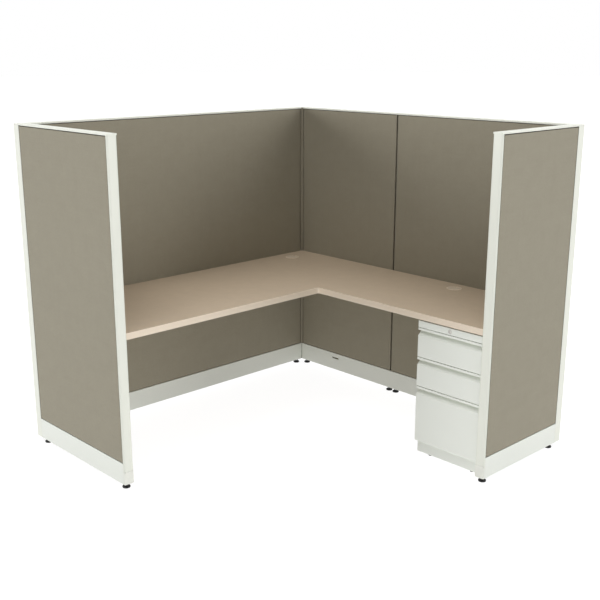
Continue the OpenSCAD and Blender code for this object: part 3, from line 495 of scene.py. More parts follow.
@dataclass(frozen=True)
class Laminate(Finish):
    """Matt high-pressure laminate with a small two-tone fleck and a pebbled face."""

    roughness: float = 0.44
    depth: float = 0.03 * MM
    fleck: float = 1.4 * MM
    fleck_reach: float = 0.1
    fleck_share: float = 0.4
    fine: Grain = Grain(900.0, 3.0, 0.6)
    fine_reach: float = 0.3
    fine_dulls: float = 0.08
    slow: Grain = Grain(22.0, 4.0, 0.55)
    slow_reach: float = 0.22
    wear: Grain = Grain(5.0, 5.0, 0.65)
    wear_dulls: float = 0.12
    tints: Span = (0.72, 1.28)

    def build(self) -> Material:
        """Build the printed flecks, the slow mottle under them and the pressed grain.

        Returns:
            The laminate's material.
        """
        graph = self.graph()
        flecks = graph.flecks(1 / self.fleck)
        fine, slow = graph.grain(self.fine), graph.grain(self.slow)
        level = flecks.swing(self.fleck_reach) + fine.swing(self.fine_reach)
        level = level + slow.swing(self.slow_reach) + 0.5
        dull = graph.grain(self.wear).swing(self.wear_dulls) + fine.swing(self.fine_dulls)
        return graph.surface(
            graph.tints(level, self.base, self.tints),
            self.roughness + dull,
            graph.bump(fine.blend(flecks, self.fleck_share), self.depth),
            {"Specular IOR Level": 0.4},
        )


@dataclass(frozen=True)
class Textured(Finish):
    """A finish with one texture pressed, moulded or drawn into it and a slower shade.

    The texture gives the bumps, and each of the two may dull the surface. The tint follows the
    shade over a span of it, or, without a span, the texture with a share of the shade in it.
    """

    roughness: float
    depth: float
    texture: Grain
    shade: Grain
    tints: Span
    texture_dulls: float = 0.0
    shade_dulls: float = 0.0
    shade_share: float = 0.5
    span: Span | None = NOISE_SPAN
    metal: float = 0.0

    def build(self) -> Material:
        """Build the texture, the shade and what both do to the surface.

        Returns:
            The material.
        """
        graph = self.graph()
        texture, shade = graph.grain(self.texture), graph.grain(self.shade)
        if self.span:
            level = graph.remap(shade, self.span)
        else:
            level = texture.blend(shade, self.shade_share)
        roughness: Signal | float = self.roughness
        for grain, dulls in ((texture, self.texture_dulls), (shade, self.shade_dulls)):
            if dulls:
                roughness = roughness + grain.swing(dulls)
        return graph.surface(
            graph.tints(level, self.base, self.tints),
            roughness,
            graph.bump(texture, self.depth),
            {"Metallic": self.metal},
        )


@dataclass(frozen=True)
class BandPlastic(Textured):
    """Extruded edge band with fine drawn lines, which keep their height along all of it."""

    roughness: float = 0.36
    depth: float = 0.02 * MM
    texture: Grain = Grain(1.0, 3.0, 0.6, (6.0, 6.0, 2400.0))
    texture_dulls: float = 0.2
    shade: Grain = Grain(9.0, 3.0)
    span: Span | None = None
    tints: Span = (0.925, 1.025)


@dataclass(frozen=True)
class MouldedPlastic(Textured):
    """Injection-moulded plastic with a spark-eroded texture and a slight flow mottle."""

    roughness: float = 0.5
    depth: float = 0.03 * MM
    texture: Grain = Grain(1700.0, 3.0, 0.6)
    texture_dulls: float = 0.2
    shade: Grain = Grain(40.0, 3.0)
    tints: Span = (0.975, 1.02)


@dataclass(frozen=True)
class PlatedSteel(Textured):
    """Plated steel with the lines left by rolling or brushing: zinc or satin nickel."""

    roughness: float = 0.34
    depth: float = 0.012 * MM
    texture: Grain = Grain(1.0, stretch=(900.0, 8.0, 900.0))
    texture_dulls: float = 0.16
    shade: Grain = Grain(45.0, 4.0, 0.6)
    shade_dulls: float = 0.2
    tints: Span = (0.82, 1.0)
    metal: float = 1.0


@dataclass(frozen=True)
class DarkCoat(Textured):
    """Matt dark dip paint on folded steel, with small runs and a dusty bloom."""

    roughness: float = 0.55
    depth: float = 0.05 * MM
    texture: Grain = Grain(1.0, 3.0, stretch=(90.0, 90.0, 12.0))
    shade: Grain = Grain(55.0, 5.0, 0.65)
    shade_dulls: float = 0.25
    span: Span | None = (0.35, 0.75)
    tints: Span = (1.0, 1.7)


@dataclass(frozen=True)
class PressedBoard(Textured):
    """Pressed mineral-fibre board that deadens sound, with pits and darker clumps."""

    roughness: float = 0.85
    depth: float = 0.5 * MM
    texture: Grain = Grain(1.0, 4.0, 0.7, (260.0, 260.0, 900.0))
    texture_dulls: float = 0.2
    shade: Grain = Grain(120.0, 3.0, 0.6)
    shade_share: float = 0.4
    span: Span | None = None
    tints: Span = (0.6, 1.35)


@dataclass(frozen=True)
class Rubber(Finish):
    """Moulded black rubber or nylon, greyed where it meets the floor."""

    roughness: float = 0.5
    depth: float = 0.04 * MM
    scuff: Grain = Grain(240.0, 4.0, 0.7)
    scuff_height: Span = (0.0, 6 * MM)
    scuff_dulls: float = 0.3
    pebbles: Grain = Grain(1400.0)
    pebbles_dull: float = 0.12
    tints: Span = (1.0, 3.0)

    def build(self) -> Material:
        """Build the scuffed foot and its moulded grain.

        Returns:
            The rubber's material.
        """
        graph = self.graph()
        _, _, z = graph.axes(graph.place)
        scuff = graph.remap(z, self.scuff_height, FADE) * graph.grain(self.scuff)
        pebbles = graph.grain(self.pebbles)
        return graph.surface(
            graph.tints(scuff, self.base, self.tints),
            self.roughness + scuff * self.scuff_dulls + pebbles.swing(self.pebbles_dull),
            graph.bump(pebbles, self.depth),
        )


@dataclass(frozen=True)
class LitFloor(Finish):
    """The plain pale floor, lit through from below like a light table."""

    seen: float = 0.93
    given: float = 0.73
    grain: Grain = Grain(40.0)
    tints: Span = (0.99, 1.0)

    def build(self) -> Material:
        """Build a matt floor that shows whiter than the light that it gives off.

        Returns:
            The floor's material.
        """
        graph = self.graph()
        looked_at = graph.out("ShaderNodeLightPath", output="Is Camera Ray")
        glow = self.given + looked_at * (self.seen - self.given)
        return graph.surface(
            graph.tints(graph.grain(self.grain), self.base, self.tints),
            roughness=0.8,
            more={"Specular IOR Level": 0.0, "Emission Color": WHITE, "Emission Strength": glow},
        )


@dataclass(frozen=True)
class SoftLight:
    """A far, wide and soft studio light; its spread is in degrees."""

    name: str
    comes_from: Triple
    strength: float
    spread: float = 50.0

    def build(self) -> None:
        """Add the light to the scene."""
        lamp = bpy.data.lights.new(self.name, "SUN")
        lamp.energy = self.strength * math.pi
        lamp.angle = math.radians(self.spread)
        made = linked(self.name, lamp)
        made.rotation_euler = Vector(self.comes_from).to_track_quat("Z", "Y").to_euler()


class Finishes(Enum):
    """The station's finishes."""

    FABRIC = WovenCloth("panel_fabric", "fabric", srgb(159, 153, 136))
    BOARD = PressedBoard("sound_board", "core_board", srgb(186, 164, 124))
    DARK_STEEL = DarkCoat("dark_dip_paint", "dark_steel", srgb(46, 44, 41))
    ZINC = PlatedSteel("zinc_plate", "zinc_steel", srgb(196, 199, 203))
    NICKEL = PlatedSteel(
        "satin_nickel",
        "lock_metal",
        srgb(226, 224, 219),
        roughness=0.36,
        texture=Grain(1.0, stretch=(1600.0, 8.0, 1600.0)),
    )
    WHITE_STEEL = PowderCoat("white_powder_coat", "white_steel", srgb(239, 242, 234))
    WHITE_TRIM = PowderCoat("white_trim_coat", "white_aluminium", srgb(240, 242, 231), 0.38)
    WHITE_PLASTIC = MouldedPlastic("white_moulding", "white_plastic", srgb(239, 240, 231))
    LAMINATE = Laminate("beige_laminate", "laminate", srgb(187, 169, 146))
    BAND = BandPlastic("pale_edge_band", "edge_band", srgb(243, 227, 206))
    # Painted highlight: the sleeves are the caps' plastic, coloured lighter so that their rims
    # show a highlight.
    GROMMET_RIM = MouldedPlastic("grommet_rim", "grommet_plastic", srgb(236, 220, 199), 0.36)
    GROMMET_CAP = MouldedPlastic("grommet_cap", "grommet_plastic", srgb(204, 188, 167), 0.4)
    BLACK_PLASTIC = MouldedPlastic("black_moulding", "black_plastic", srgb(34, 34, 35), 0.45)
    RUBBER = Rubber("black_foot", "black_rubber", srgb(24, 24, 25))
    PEDESTAL = PowderCoat("pedestal_powder_coat", "pedestal_paint", srgb(245, 248, 240))




# Meshes


def linked(name: str, data: ID) -> Object:
    """Put data in the scene as an object at the origin.

    Args:
        name: The object's name.
        data: Its mesh, lamp or lens.

    Returns:
        The object.
    """
    made = bpy.data.objects.new(name, data)
    bpy.context.scene.collection.objects.link(made)
    return made


def modified(made: Object, kind: str, inputs: Inputs | None = None, **settings: Any) -> Object:
    """Put an object's mesh through a modifier.

    Args:
        made: The object.
        kind: The modifier's type.
        inputs: The inputs of a Geometry Nodes modifier, by their identifiers.
        settings: The modifier's properties.

    Returns:
        The same object with the plain mesh that came out.
    """
    modifier = made.modifiers.new("modifier", kind)
    for name, setting in settings.items():
        setattr(modifier, name, setting)
    for identifier, value in (inputs or {}).items():
        modifier[identifier] = value
    bpy.context.view_layer.update()
    found = made.evaluated_get(bpy.context.evaluated_depsgraph_get())
    mesh = bpy.data.meshes.new_from_object(found)
    made.modifiers.clear()
    made.data = mesh
    mesh.name = made.name
    return made


def opened(mesh: Mesh, merge: float = 0.0) -> BMesh:
    """Copy a mesh into a working one.

    Args:
        mesh: The mesh.
        merge: Points that are closer than this become one, unless it is 0.

    Returns:
        The working mesh.
    """
    shape = bmesh.new()
    shape.from_mesh(mesh)
    if merge:
        bmesh.ops.remove_doubles(shape, verts=shape.verts, dist=merge)
    return shape


def closed(name: str, shape: BMesh) -> Mesh:
    """Turn a working mesh into a plain one and free it.

    Args:
        name: The plain mesh's name.
        shape: The working mesh.

    Returns:
        The plain mesh.
    """
    mesh = bpy.data.meshes.new(name)
    shape.to_mesh(mesh)
    shape.free()
    return mesh


def shaded(mesh: Mesh, degrees: float = SHARP) -> Mesh:
    """Shade a mesh smooth.

    Args:
        mesh: The mesh.
        degrees: Edges sharper than this stay sharp.

    Returns:
        The same mesh.
    """
    mesh.polygons.foreach_set("use_smooth", [True] * len(mesh.polygons))
    mesh.set_sharp_from_angle(angle=math.radians(degrees))
    return mesh


def finished(name: str, shape: BMesh) -> Mesh:
    """Turn a working mesh into a shaded one whose faces point outward."""
    bmesh.ops.recalc_face_normals(shape, faces=shape.faces)
    return shaded(closed(name, shape))


def stitch(shape: BMesh, rings: Sequence[list[BMVert]]) -> None:
    """Close a shape between its rings of points and at both ends.

    Args:
        shape: The shape.
        rings: Its rings from one end to the other; a ring of one point is a pole.
    """
    for low, high in zip(rings, rings[1:]):
        for step in range(max(len(low), len(high))):
            after = step + 1
            corners = [low[step % len(low)], low[after % len(low)]]
            corners += [high[after % len(high)], high[step % len(high)]]
            shape.faces.new(list(dict.fromkeys(corners)))
    for ring in (rings[0], rings[-1]):
        if len(ring) > 1:
            shape.faces.new(ring)


def lathe(profile: Iterable[Point2], sides: int, shape: BMesh | None = None) -> BMesh:
    """Turn a profile about Z.

    Args:
        profile: (radius, height) pairs from the bottom to the top; a radius of 0 is a pole.
        sides: Sides of the turned shape.
        shape: What it is added to, or nothing for a new shape.

    Returns:
        The closed shape.
    """
    shape = shape or bmesh.new()
    rings = []
    for radius, height in profile:
        turns = [2 * math.pi * step / sides for step in range(sides if radius else 1)]
        rings.append(
            [shape.verts.new((radius * math.cos(a), radius * math.sin(a), height)) for a in turns]
        )
    stitch(shape, rings)
    return shape


@dataclass(frozen=True)
class Solid:
    """The box round one of the separate solids of a CAD node."""

    low: Vector
    high: Vector

    @property
    def radius(self) -> float:
        """Half of the width along X."""
        return (self.high.x - self.low.x) / 2

    @property
    def height(self) -> float:
        """The height."""
        return self.high.z - self.low.z

    @property
    def foot(self) -> Vector:
        """The middle of the bottom."""
        middle = (self.low + self.high) / 2
        return Vector((middle.x, middle.y, self.low.z))


def solids(node: Object) -> list[Solid]:
    """Find the separate solids of a CAD node.

    Args:
        node: The node's object.

    Returns:
        The solids, in the order of their first points.
    """
    shape = opened(node.data, MERGE)
    seen: set[BMVert] = set()
    found: list[Solid] = []
    for start in shape.verts:
        if start in seen:
            continue
        seen.add(start)
        group = [start]
        # The group grows while it is walked.
        for vertex in group:
            others = {link.other_vert(vertex) for link in vertex.link_edges} - seen
            seen |= others
            group += others
        ends = (
            Vector([pick(vertex.co[axis] for vertex in group) for axis in range(3)])
            for pick in (min, max)
        )
        found.append(Solid(*ends))
    shape.free()
    return found


# Geometry trees


class GeometryTree(NodeTree):
    """A Geometry Nodes tree with named inputs that ends in real geometry and its material."""

    def __init__(self, name: str) -> None:
        """Start a tree that takes the object's own mesh.

        Args:
            name: The tree's name.
        """
        super().__init__(bpy.data.node_groups.new(name, "GeometryNodeTree"))
        for way in ("INPUT", "OUTPUT"):
            self.tree.interface.new_socket(
                "Geometry", in_out=way, socket_type="NodeSocketGeometry"
            )
        self.entry = self.tree.nodes.new("NodeGroupInput")
        self.named: dict[str, str] = {}

    def size(self, name: str, kind: str = "NodeSocketFloat") -> NodeSocket:
        """Add a named input.

        Args:
            name: Its name.
            kind: The type of its socket.

        Returns:
            The socket that gives its value inside the tree.
        """
        socket = self.tree.interface.new_socket(name, in_out="INPUT", socket_type=kind)
        self.named[name] = socket.identifier
        return self.entry.outputs[name]

    def rectangle(self, width: Any, height: Any) -> Node:
        """Add a rectangular curve."""
        sides = {0: width, 1: height}
        return self.node("GeometryNodeCurvePrimitiveQuadrilateral", sides, mode="RECTANGLE")

    def rounded(self, curve: Node, radius: Any, count: int) -> Node:
        """Round the corners of a curve with a number of points each."""
        inputs = {"Curve": curve, "Count": count, "Radius": radius}
        return self.node("GeometryNodeFilletCurve", inputs, mode="POLY")

    def end(self, geometry: Node, finish: Finishes) -> None:
        """Close the tree with Realize Instances and Set Material.

        Args:
            geometry: What the tree made.
            finish: The finish of all of it.
        """
        inputs = {
            "Geometry": self.node("GeometryNodeRealizeInstances", {0: geometry}),
            "Material": finish.value.material,
        }
        self.node("NodeGroupOutput", {0: self.node("GeometryNodeSetMaterial", inputs)})

    def run(self, name: str, start: Mesh, sizes: dict[str, Any]) -> Object:
        """Run the tree on a mesh.

        Args:
            name: The new object's name.
            start: The mesh that the tree takes in.
            sizes: A value for each named input.

        Returns:
            An object with the plain mesh that came out.
        """
        inputs = {self.named[title]: value for title, value in sizes.items()}
        made = modified(linked(name, start), "NODES", inputs, node_group=self.tree)
        shaded(made.data)
        return made


def wire(
    name: str, points: Iterable[Sequence[float]], edges: Sequence[tuple[int, int]] = ()
) -> Mesh:
    """Make a mesh of points and edges for a tree to take in.

    Args:
        name: The mesh's name.
        points: Its points.
        edges: The numbers of the points that are joined.

    Returns:
        The mesh.
    """
    mesh = bpy.data.meshes.new(name)
    mesh.from_pydata([tuple(point) for point in points], edges, [])
    return mesh


class PlacedPieces:
    """A tree that puts one template on every point, each turned about Z by its own amount."""

    def __init__(self, name: str, finish: Finishes, seed: int) -> None:
        """Build the tree.

        Args:
            name: The tree's name.
            finish: The pieces' finish.
            seed: Fixes how each one is turned.
        """
        tree = GeometryTree(name)
        template, most = tree.size("Template", "NodeSocketObject"), tree.size("Turn")
        piece = tree.node("GeometryNodeObjectInfo", {"Object": template})
        turns = {2: 0.0, 3: most, "Seed": seed}
        spin = tree.node("FunctionNodeRandomValue", turns, data_type="FLOAT")
        angles = tree.vector(0.0, 0.0, spin.outputs[1])
        inputs = {
            "Points": tree.entry,
            "Instance": piece.outputs["Geometry"],
            "Rotation": tree.node("FunctionNodeEulerToRotation", {0: angles}),
        }
        tree.end(tree.node("GeometryNodeInstanceOnPoints", inputs), finish)
        self.tree = tree

    def place(self, name: str, template: BMesh, points: Iterable[Vector]) -> Object:
        """Put a template on every point.

        Args:
            name: The new piece's name.
            template: The shape, standing on its own origin; it is freed.
            points: Where the pieces go.

        Returns:
            One object with all the pieces.
        """
        shape = linked(name + ".template", finished(name + ".template", template))
        made = self.tree.run(name, wire(name, points), {"Template": shape, "Turn": 2 * math.pi})
        bpy.data.objects.remove(shape)
        return made


# The station's pieces


@dataclass
class Workshop:
    """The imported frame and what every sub-assembly needs to dress it."""

    frame: dict[str, Any]

    def named(self, ending: str) -> list[str]:
        """Return the sorted names of the CAD nodes that end in some words."""
        return sorted(name for name in self.frame["nodes"] if name.endswith(ending))

    def node(self, name: str) -> Object:
        """Return a CAD node's object."""
        return self.frame["nodes"][name]

    def paint(self, made: Object, finish: Finishes) -> None:
        """Give an object a finish.

        Args:
            made: The object.
            finish: The finish, which names the record's slot too.
        """
        made.data.materials.clear()
        made.data.materials.append(finish.value.material)

    def dress(self, finish: Finishes, *names: str) -> None:
        """Give CAD nodes that stay as they are a finish.

        Args:
            finish: Their finish.
            names: The nodes.
        """
        for name in names:
            self.paint(self.node(name), finish)
            log.info("dressed %s in %s", name, finish.value.name)

    def hand_in(self, made: Object, finish: Finishes, stands_for: str = "") -> None:
        """Finish a new piece and let it ride on its body.

        Args:
            made: The piece, in place.
            finish: Its finish.
            stands_for: The CAD node that it replaces and whose body carries it. An extra piece
                replaces none and rides on the station.
        """
        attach(made, self.node(stands_for)["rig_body"] if stands_for else STATION)
        self.paint(made, finish)
        if stands_for:
            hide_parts(stands_for)
        log.info("built %s: %d faces", made.name, len(made.data.polygons))

    def cleaned(self, name: str) -> Mesh:
        """Copy a CAD node's mesh with its doubles merged and its flat faces whole.

        Args:
            name: The node.

        Returns:
            The copy.
        """
        shape = opened(self.node(name).data, MERGE)
        flat = math.radians(FLAT)
        bmesh.ops.dissolve_limit(shape, angle_limit=flat, verts=shape.verts, edges=shape.edges)
        for layer in list(shape.loops.layers.uv):
            shape.loops.layers.uv.remove(layer)
        return closed(name, shape)

    def soften(
        self, finish: Finishes, radius: float, *names: str, segments: int = 3
    ) -> list[Object]:
        """Stand copies with rounded edges in for CAD nodes.

        Args:
            finish: The copies' finish.
            radius: The radius of their edges.
            names: The nodes.
            segments: Faces across each rounded edge.

        Returns:
            The copies.
        """
        copies = []
        for name in names:
            made = linked(name + ".soft", shaded(self.cleaned(name), ROUNDED))
            modified(
                made,
                "BEVEL",
                width=radius,
                segments=segments,
                limit_method="ANGLE",
                angle_limit=math.radians(ROUNDED),
                harden_normals=True,
                use_clamp_overlap=True,
            )
            self.hand_in(made, finish, name)
            copies.append(made)
        return copies


@dataclass
class FabricTiles:
    """The skins: boards wrapped in fabric, with rolled edges, and the strips between them."""

    shop: Workshop
    roll: float = 1.5 * MM
    roll_steps: int = 5
    corner: float = 1.5 * MM
    least_corner: float = 0.15 * MM
    corner_steps: int = 4
    back_edge: float = 0.4 * MM
    crown: float = 0.12 * MM
    crown_reach: float = 9 * MM
    smooth: float = 60.0
    strip_edge: float = 0.8 * MM

    def build(self) -> None:
        """Build every skin and the strips in the inner corners."""
        for name in self.shop.named("_skin"):
            self.build_skin(name)
        self.build_strips()

    def build_skin(self, name: str) -> None:
        """Build one wrapped board on the place of its skin.

        Args:
            name: The skin's CAD node.
        """
        low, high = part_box(name)
        frame_low, frame_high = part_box(name.rsplit("_", 2)[0] + "_frame")
        size, middle = high - low, (low + high) / 2
        thin, wide = (0, 1) if size.x < size.y else (1, 0)
        along, face = Vector((0, 0, 0)), Vector((0, 0, 0))
        along[wide] = 1.0
        face[thin] = math.copysign(1.0, (low + high - frame_low - frame_high)[thin])
        turn = Matrix((along, (0, 0, 1), face)).transposed().to_4x4()
        mesh = self.board(name, size[wide], size.z, size[thin])
        mesh.transform(Matrix.Translation(middle - face * size[thin] / 2) @ turn)
        if turn.determinant() < 0:
            mesh.flip_normals()
        made = linked(name + ".cloth", shaded(mesh, self.smooth))
        self.shop.hand_in(made, Finishes.FABRIC, name)

    def outline(self, width: float, height: float, inset: float) -> list[Point2]:
        """Return a rectangle's outline with small round corners.

        Args:
            width: The board's width.
            height: The board's height.
            inset: How far the outline lies inside the board's.

        Returns:
            The outline's points, anticlockwise, always the same number of them.
        """
        radius = max(self.corner - inset, self.least_corner)
        across, up = width / 2 - inset - radius, height / 2 - inset - radius
        points: list[Point2] = []
        for quarter, (x, y) in enumerate(((1, 1), (-1, 1), (-1, -1), (1, -1))):
            for step in range(self.corner_steps + 1):
                angle = QUARTER * (quarter + step / self.corner_steps)
                points.append(
                    (x * across + radius * math.cos(angle), y * up + radius * math.sin(angle))
                )
        return points

    def levels(self, depth: float) -> list[Triple]:
        """Return the board's outlines from its back to its crowned face.

        Args:
            depth: The board's thickness.

        Returns:
            For each outline its inset, its height, and how much further round the edge the
            cloth has run than the inset says.
        """
        straight, arc = depth - self.roll, self.roll * QUARTER
        spare = arc + straight - self.roll
        levels = [(self.back_edge, 0.0, spare + self.back_edge)]
        levels.append((0.0, self.back_edge, spare - self.back_edge))
        for step in range(self.roll_steps):
            angle = QUARTER * step / self.roll_steps
            up, out = self.roll * math.sin(angle), self.roll * math.cos(angle)
            levels.append((self.roll - out, straight + up, arc - self.roll * angle - out))
        levels.append((self.roll, depth - self.crown, 0.0))
        levels.append((self.crown_reach, depth, 0.0))
        return levels

    def board(self, name: str, width: float, height: float, depth: float) -> Mesh:
        """Build a wrapped board that lies in X and Y and faces +Z.

        Args:
            name: The mesh's name.
            width: Its width.
            height: Its height.
            depth: Its thickness.

        Returns:
            The mesh, with a UV map of the cloth in metres.
        """
        shape = bmesh.new()
        cloth = shape.loops.layers.uv.new(CLOTH_MAP)
        flat: dict[BMVert, Point2] = {}
        rings = []
        for inset, rise, spare in self.levels(depth):
            outline = self.outline(width, height, inset)
            rings.append([shape.verts.new((x, y, rise)) for x, y in outline])
            for vertex, (x, y) in zip(rings[-1], outline):
                flat[vertex] = (x + math.copysign(spare, x), y + math.copysign(spare, y))
        stitch(shape, rings)
        for polygon in shape.faces:
            for loop in polygon.loops:
                loop[cloth].uv = flat[loop.vert]
        return finished(name, shape)

    def build_strips(self) -> None:
        """Build the strips that close the inner corners, wrapped in the same cloth."""
        (made,) = self.shop.soften(Finishes.FABRIC, self.strip_edge, "inner_corner_strips")
        mesh = made.data
        layer = mesh.uv_layers.new(name=CLOTH_MAP)
        for polygon in mesh.polygons:
            along = 0 if abs(polygon.normal.x) < abs(polygon.normal.y) else 1
            for loop in polygon.loop_indices:
                point = mesh.vertices[mesh.loops[loop].vertex_index].co
                layer.data[loop].uv = (point[along], point.z)


@dataclass
class PanelFrames:
    """The steel frames inside the panels, with the slotted standards seen in the seam."""

    shop: Workshop
    slot_pitch: float = 25.4 * MM
    slot_length: float = 15 * MM
    slot_width: float = 3.2 * MM
    strip_play: float = 0.2 * MM
    strip_sheet: float = 1.0 * MM
    strip_gap: float = 0.05 * MM

    def build(self) -> None:
        """Dress the frames and boards and build the standards."""
        self.shop.dress(Finishes.DARK_STEEL, *self.shop.named("_frame"), "corner_posts")
        self.shop.dress(Finishes.BOARD, "panel_cores")
        self.shop.dress(Finishes.ZINC, "panel_bolts")
        self.build_standards()

    def standard_tree(self) -> GeometryTree:
        """Build the tree that repeats one slotted cell up a standard.

        Returns:
            The tree, which takes in the feet of the standards.
        """
        tree = GeometryTree("slotted_standard")
        pitch, length = tree.size("Pitch"), tree.size("Slot length")
        width, slot = tree.size("Strip width"), tree.size("Slot width")
        sheet, count = tree.size("Sheet"), tree.size("Cells", "NodeSocketInt")
        sides = [tree.rectangle(width, pitch), tree.rectangle(slot, length)]
        outlines = tree.node("GeometryNodeJoinGeometry", {0: sides})
        cell = tree.node("GeometryNodeFillCurve", {0: outlines}, mode="NGONS")
        upright = tree.node("GeometryNodeTransform", {0: cell, "Rotation": (QUARTER, 0.0, 0.0)})
        rise = {"Count": count, "Offset": tree.vector(0.0, 0.0, pitch)}
        row = tree.node("GeometryNodeMeshLine", rise, mode="OFFSET")
        cells = tree.node("GeometryNodeInstanceOnPoints", {0: row, 2: upright})
        strip = tree.node("GeometryNodeRealizeInstances", {0: cells})
        whole = tree.node("GeometryNodeMergeByDistance", {0: strip})
        push = {0: whole, "Offset Scale": sheet, "Individual": False}
        front = tree.node("GeometryNodeExtrudeMesh", push, mode="FACES")
        back = tree.node("GeometryNodeFlipFaces", {0: whole})
        both = tree.node("GeometryNodeJoinGeometry", {0: [front, back]})
        solid = tree.node("GeometryNodeMergeByDistance", {0: both})
        placed = tree.node("GeometryNodeInstanceOnPoints", {0: tree.entry, 2: solid})
        tree.end(placed, Finishes.DARK_STEEL)
        return tree

    def build_standards(self) -> None:
        """Build the standards in the back wall's seam, one on each face of the frames."""
        low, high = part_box("back_wide_frame")
        skin_low, skin_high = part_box("back_wide_inner_skin")
        cells = int((skin_high.z - skin_low.z) / self.slot_pitch)
        bottom = (skin_high.z + skin_low.z - (cells - 1) * self.slot_pitch) / 2
        faces = (low.y - self.strip_gap, high.y + self.strip_gap + self.strip_sheet)
        sizes = {
            "Pitch": self.slot_pitch,
            "Slot length": self.slot_length,
            "Strip width": 2 * (skin_low.x - low.x - self.strip_play),
            "Slot width": self.slot_width,
            "Sheet": self.strip_sheet,
            "Cells": cells,
        }
        points = wire("seam_standard", [(low.x, y, bottom) for y in faces])
        made = self.standard_tree().run("seam_standard", points, sizes)
        self.shop.hand_in(made, Finishes.DARK_STEEL)


@dataclass
class WhiteTrims:
    """The caps, end trims, post covers and base covers round the panels."""

    shop: Workshop
    sheet_edge: float = 0.6 * MM
    cap_edge: float = 1.1 * MM
    plastic_edge: float = 1.0 * MM

    def build(self) -> None:
        """Build softened copies of all the white trims."""
        soften = self.shop.soften
        for name in self.shop.named(""):
            if "base_cover" in name:
                soften(Finishes.WHITE_STEEL, self.sheet_edge, name)
            elif name.endswith("_top_cap"):
                soften(Finishes.WHITE_TRIM, self.cap_edge, name)
        soften(Finishes.WHITE_TRIM, self.sheet_edge, "corner_post_covers", "wing_end_trims")
        soften(Finishes.WHITE_PLASTIC, self.plastic_edge, "base_end_caps", "corner_post_caps")


@dataclass
class Worktop:
    """The laminate board, its edge band, its brackets and the grommets."""

    shop: Workshop
    board_edge: float = 0.5 * MM
    bracket_edge: float = 0.5 * MM
    ring_edge: float = 0.9 * MM
    cap_edge: float = 0.6 * MM
    band: float = 2 * MM
    band_edge: float = 0.9 * MM
    band_edge_points: int = 4
    inner_radius: float = 12 * MM
    inner_points: int = 10

    def build(self) -> None:
        """Build the board and all that is fitted to it."""
        soften = self.shop.soften
        soften(Finishes.LAMINATE, self.board_edge, "worktop")
        self.build_band()
        soften(Finishes.DARK_STEEL, self.bracket_edge, "worktop_brackets")
        # The sleeves' lighter colour is a painted highlight on their rims.
        soften(Finishes.GROMMET_RIM, self.ring_edge, "grommet_sleeves")
        soften(Finishes.GROMMET_CAP, self.cap_edge, "corner_grommet_cap", "right_grommet_cap")

    def band_tree(self) -> GeometryTree:
        """Build the tree that sweeps the band's section along the worktop's front.

        Returns:
            The tree, which takes in the line that the band follows.
        """
        tree = GeometryTree("edge_band")
        depth, height = tree.size("Depth"), tree.size("Height")
        edge, bend = tree.size("Edge radius"), tree.size("Corner radius")
        path = tree.node("GeometryNodeMeshToCurve", {0: tree.entry})
        level = tree.node("GeometryNodeSetCurveNormal", {0: path}, mode="Z_UP")
        inputs = {
            "Curve": tree.rounded(level, bend, self.inner_points),
            "Profile Curve": tree.rounded(
                tree.rectangle(depth, height), edge, self.band_edge_points
            ),
            "Fill Caps": True,
        }
        swept = tree.node("GeometryNodeCurveToMesh", inputs)
        tree.end(swept, Finishes.BAND)
        return tree

    def build_band(self) -> None:
        """Build the edge band from the box of its CAD node."""
        low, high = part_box("worktop_edge_band")
        half, level = self.band / 2, (low.z + high.z) / 2
        x, y = low.x + half, high.y - half
        path = wire(
            "band_path", [(x, low.y, level), (x, y, level), (high.x, y, level)], [(0, 1), (1, 2)]
        )
        sizes = {
            "Depth": self.band,
            "Height": high.z - low.z,
            "Edge radius": self.band_edge,
            "Corner radius": self.inner_radius + half,
        }
        made = self.band_tree().run("worktop_edge_band.swept", path, sizes)
        self.shop.hand_in(made, Finishes.BAND, "worktop_edge_band")


@dataclass(frozen=True)
class Thread:
    """A screw thread, drawn as one ring for each turn.

    Its root's radius is a share of the crest's, and lies below the crest by a share of the pitch.
    """

    pitch: float
    root: float
    below: float

    def turns(self, radius: float, start: float, end: float) -> list[Point2]:
        """Return the profile of a thread.

        Args:
            radius: The radius of its crests.
            start: The height that it starts from.
            end: The height that its last crest stays below.

        Returns:
            The (radius, height) pairs of its roots and crests.
        """
        turns: list[Point2] = []
        height = start + self.pitch
        while height < end:
            turns += [(radius * self.root, height - self.pitch * self.below), (radius, height)]
            height += self.pitch
        return turns


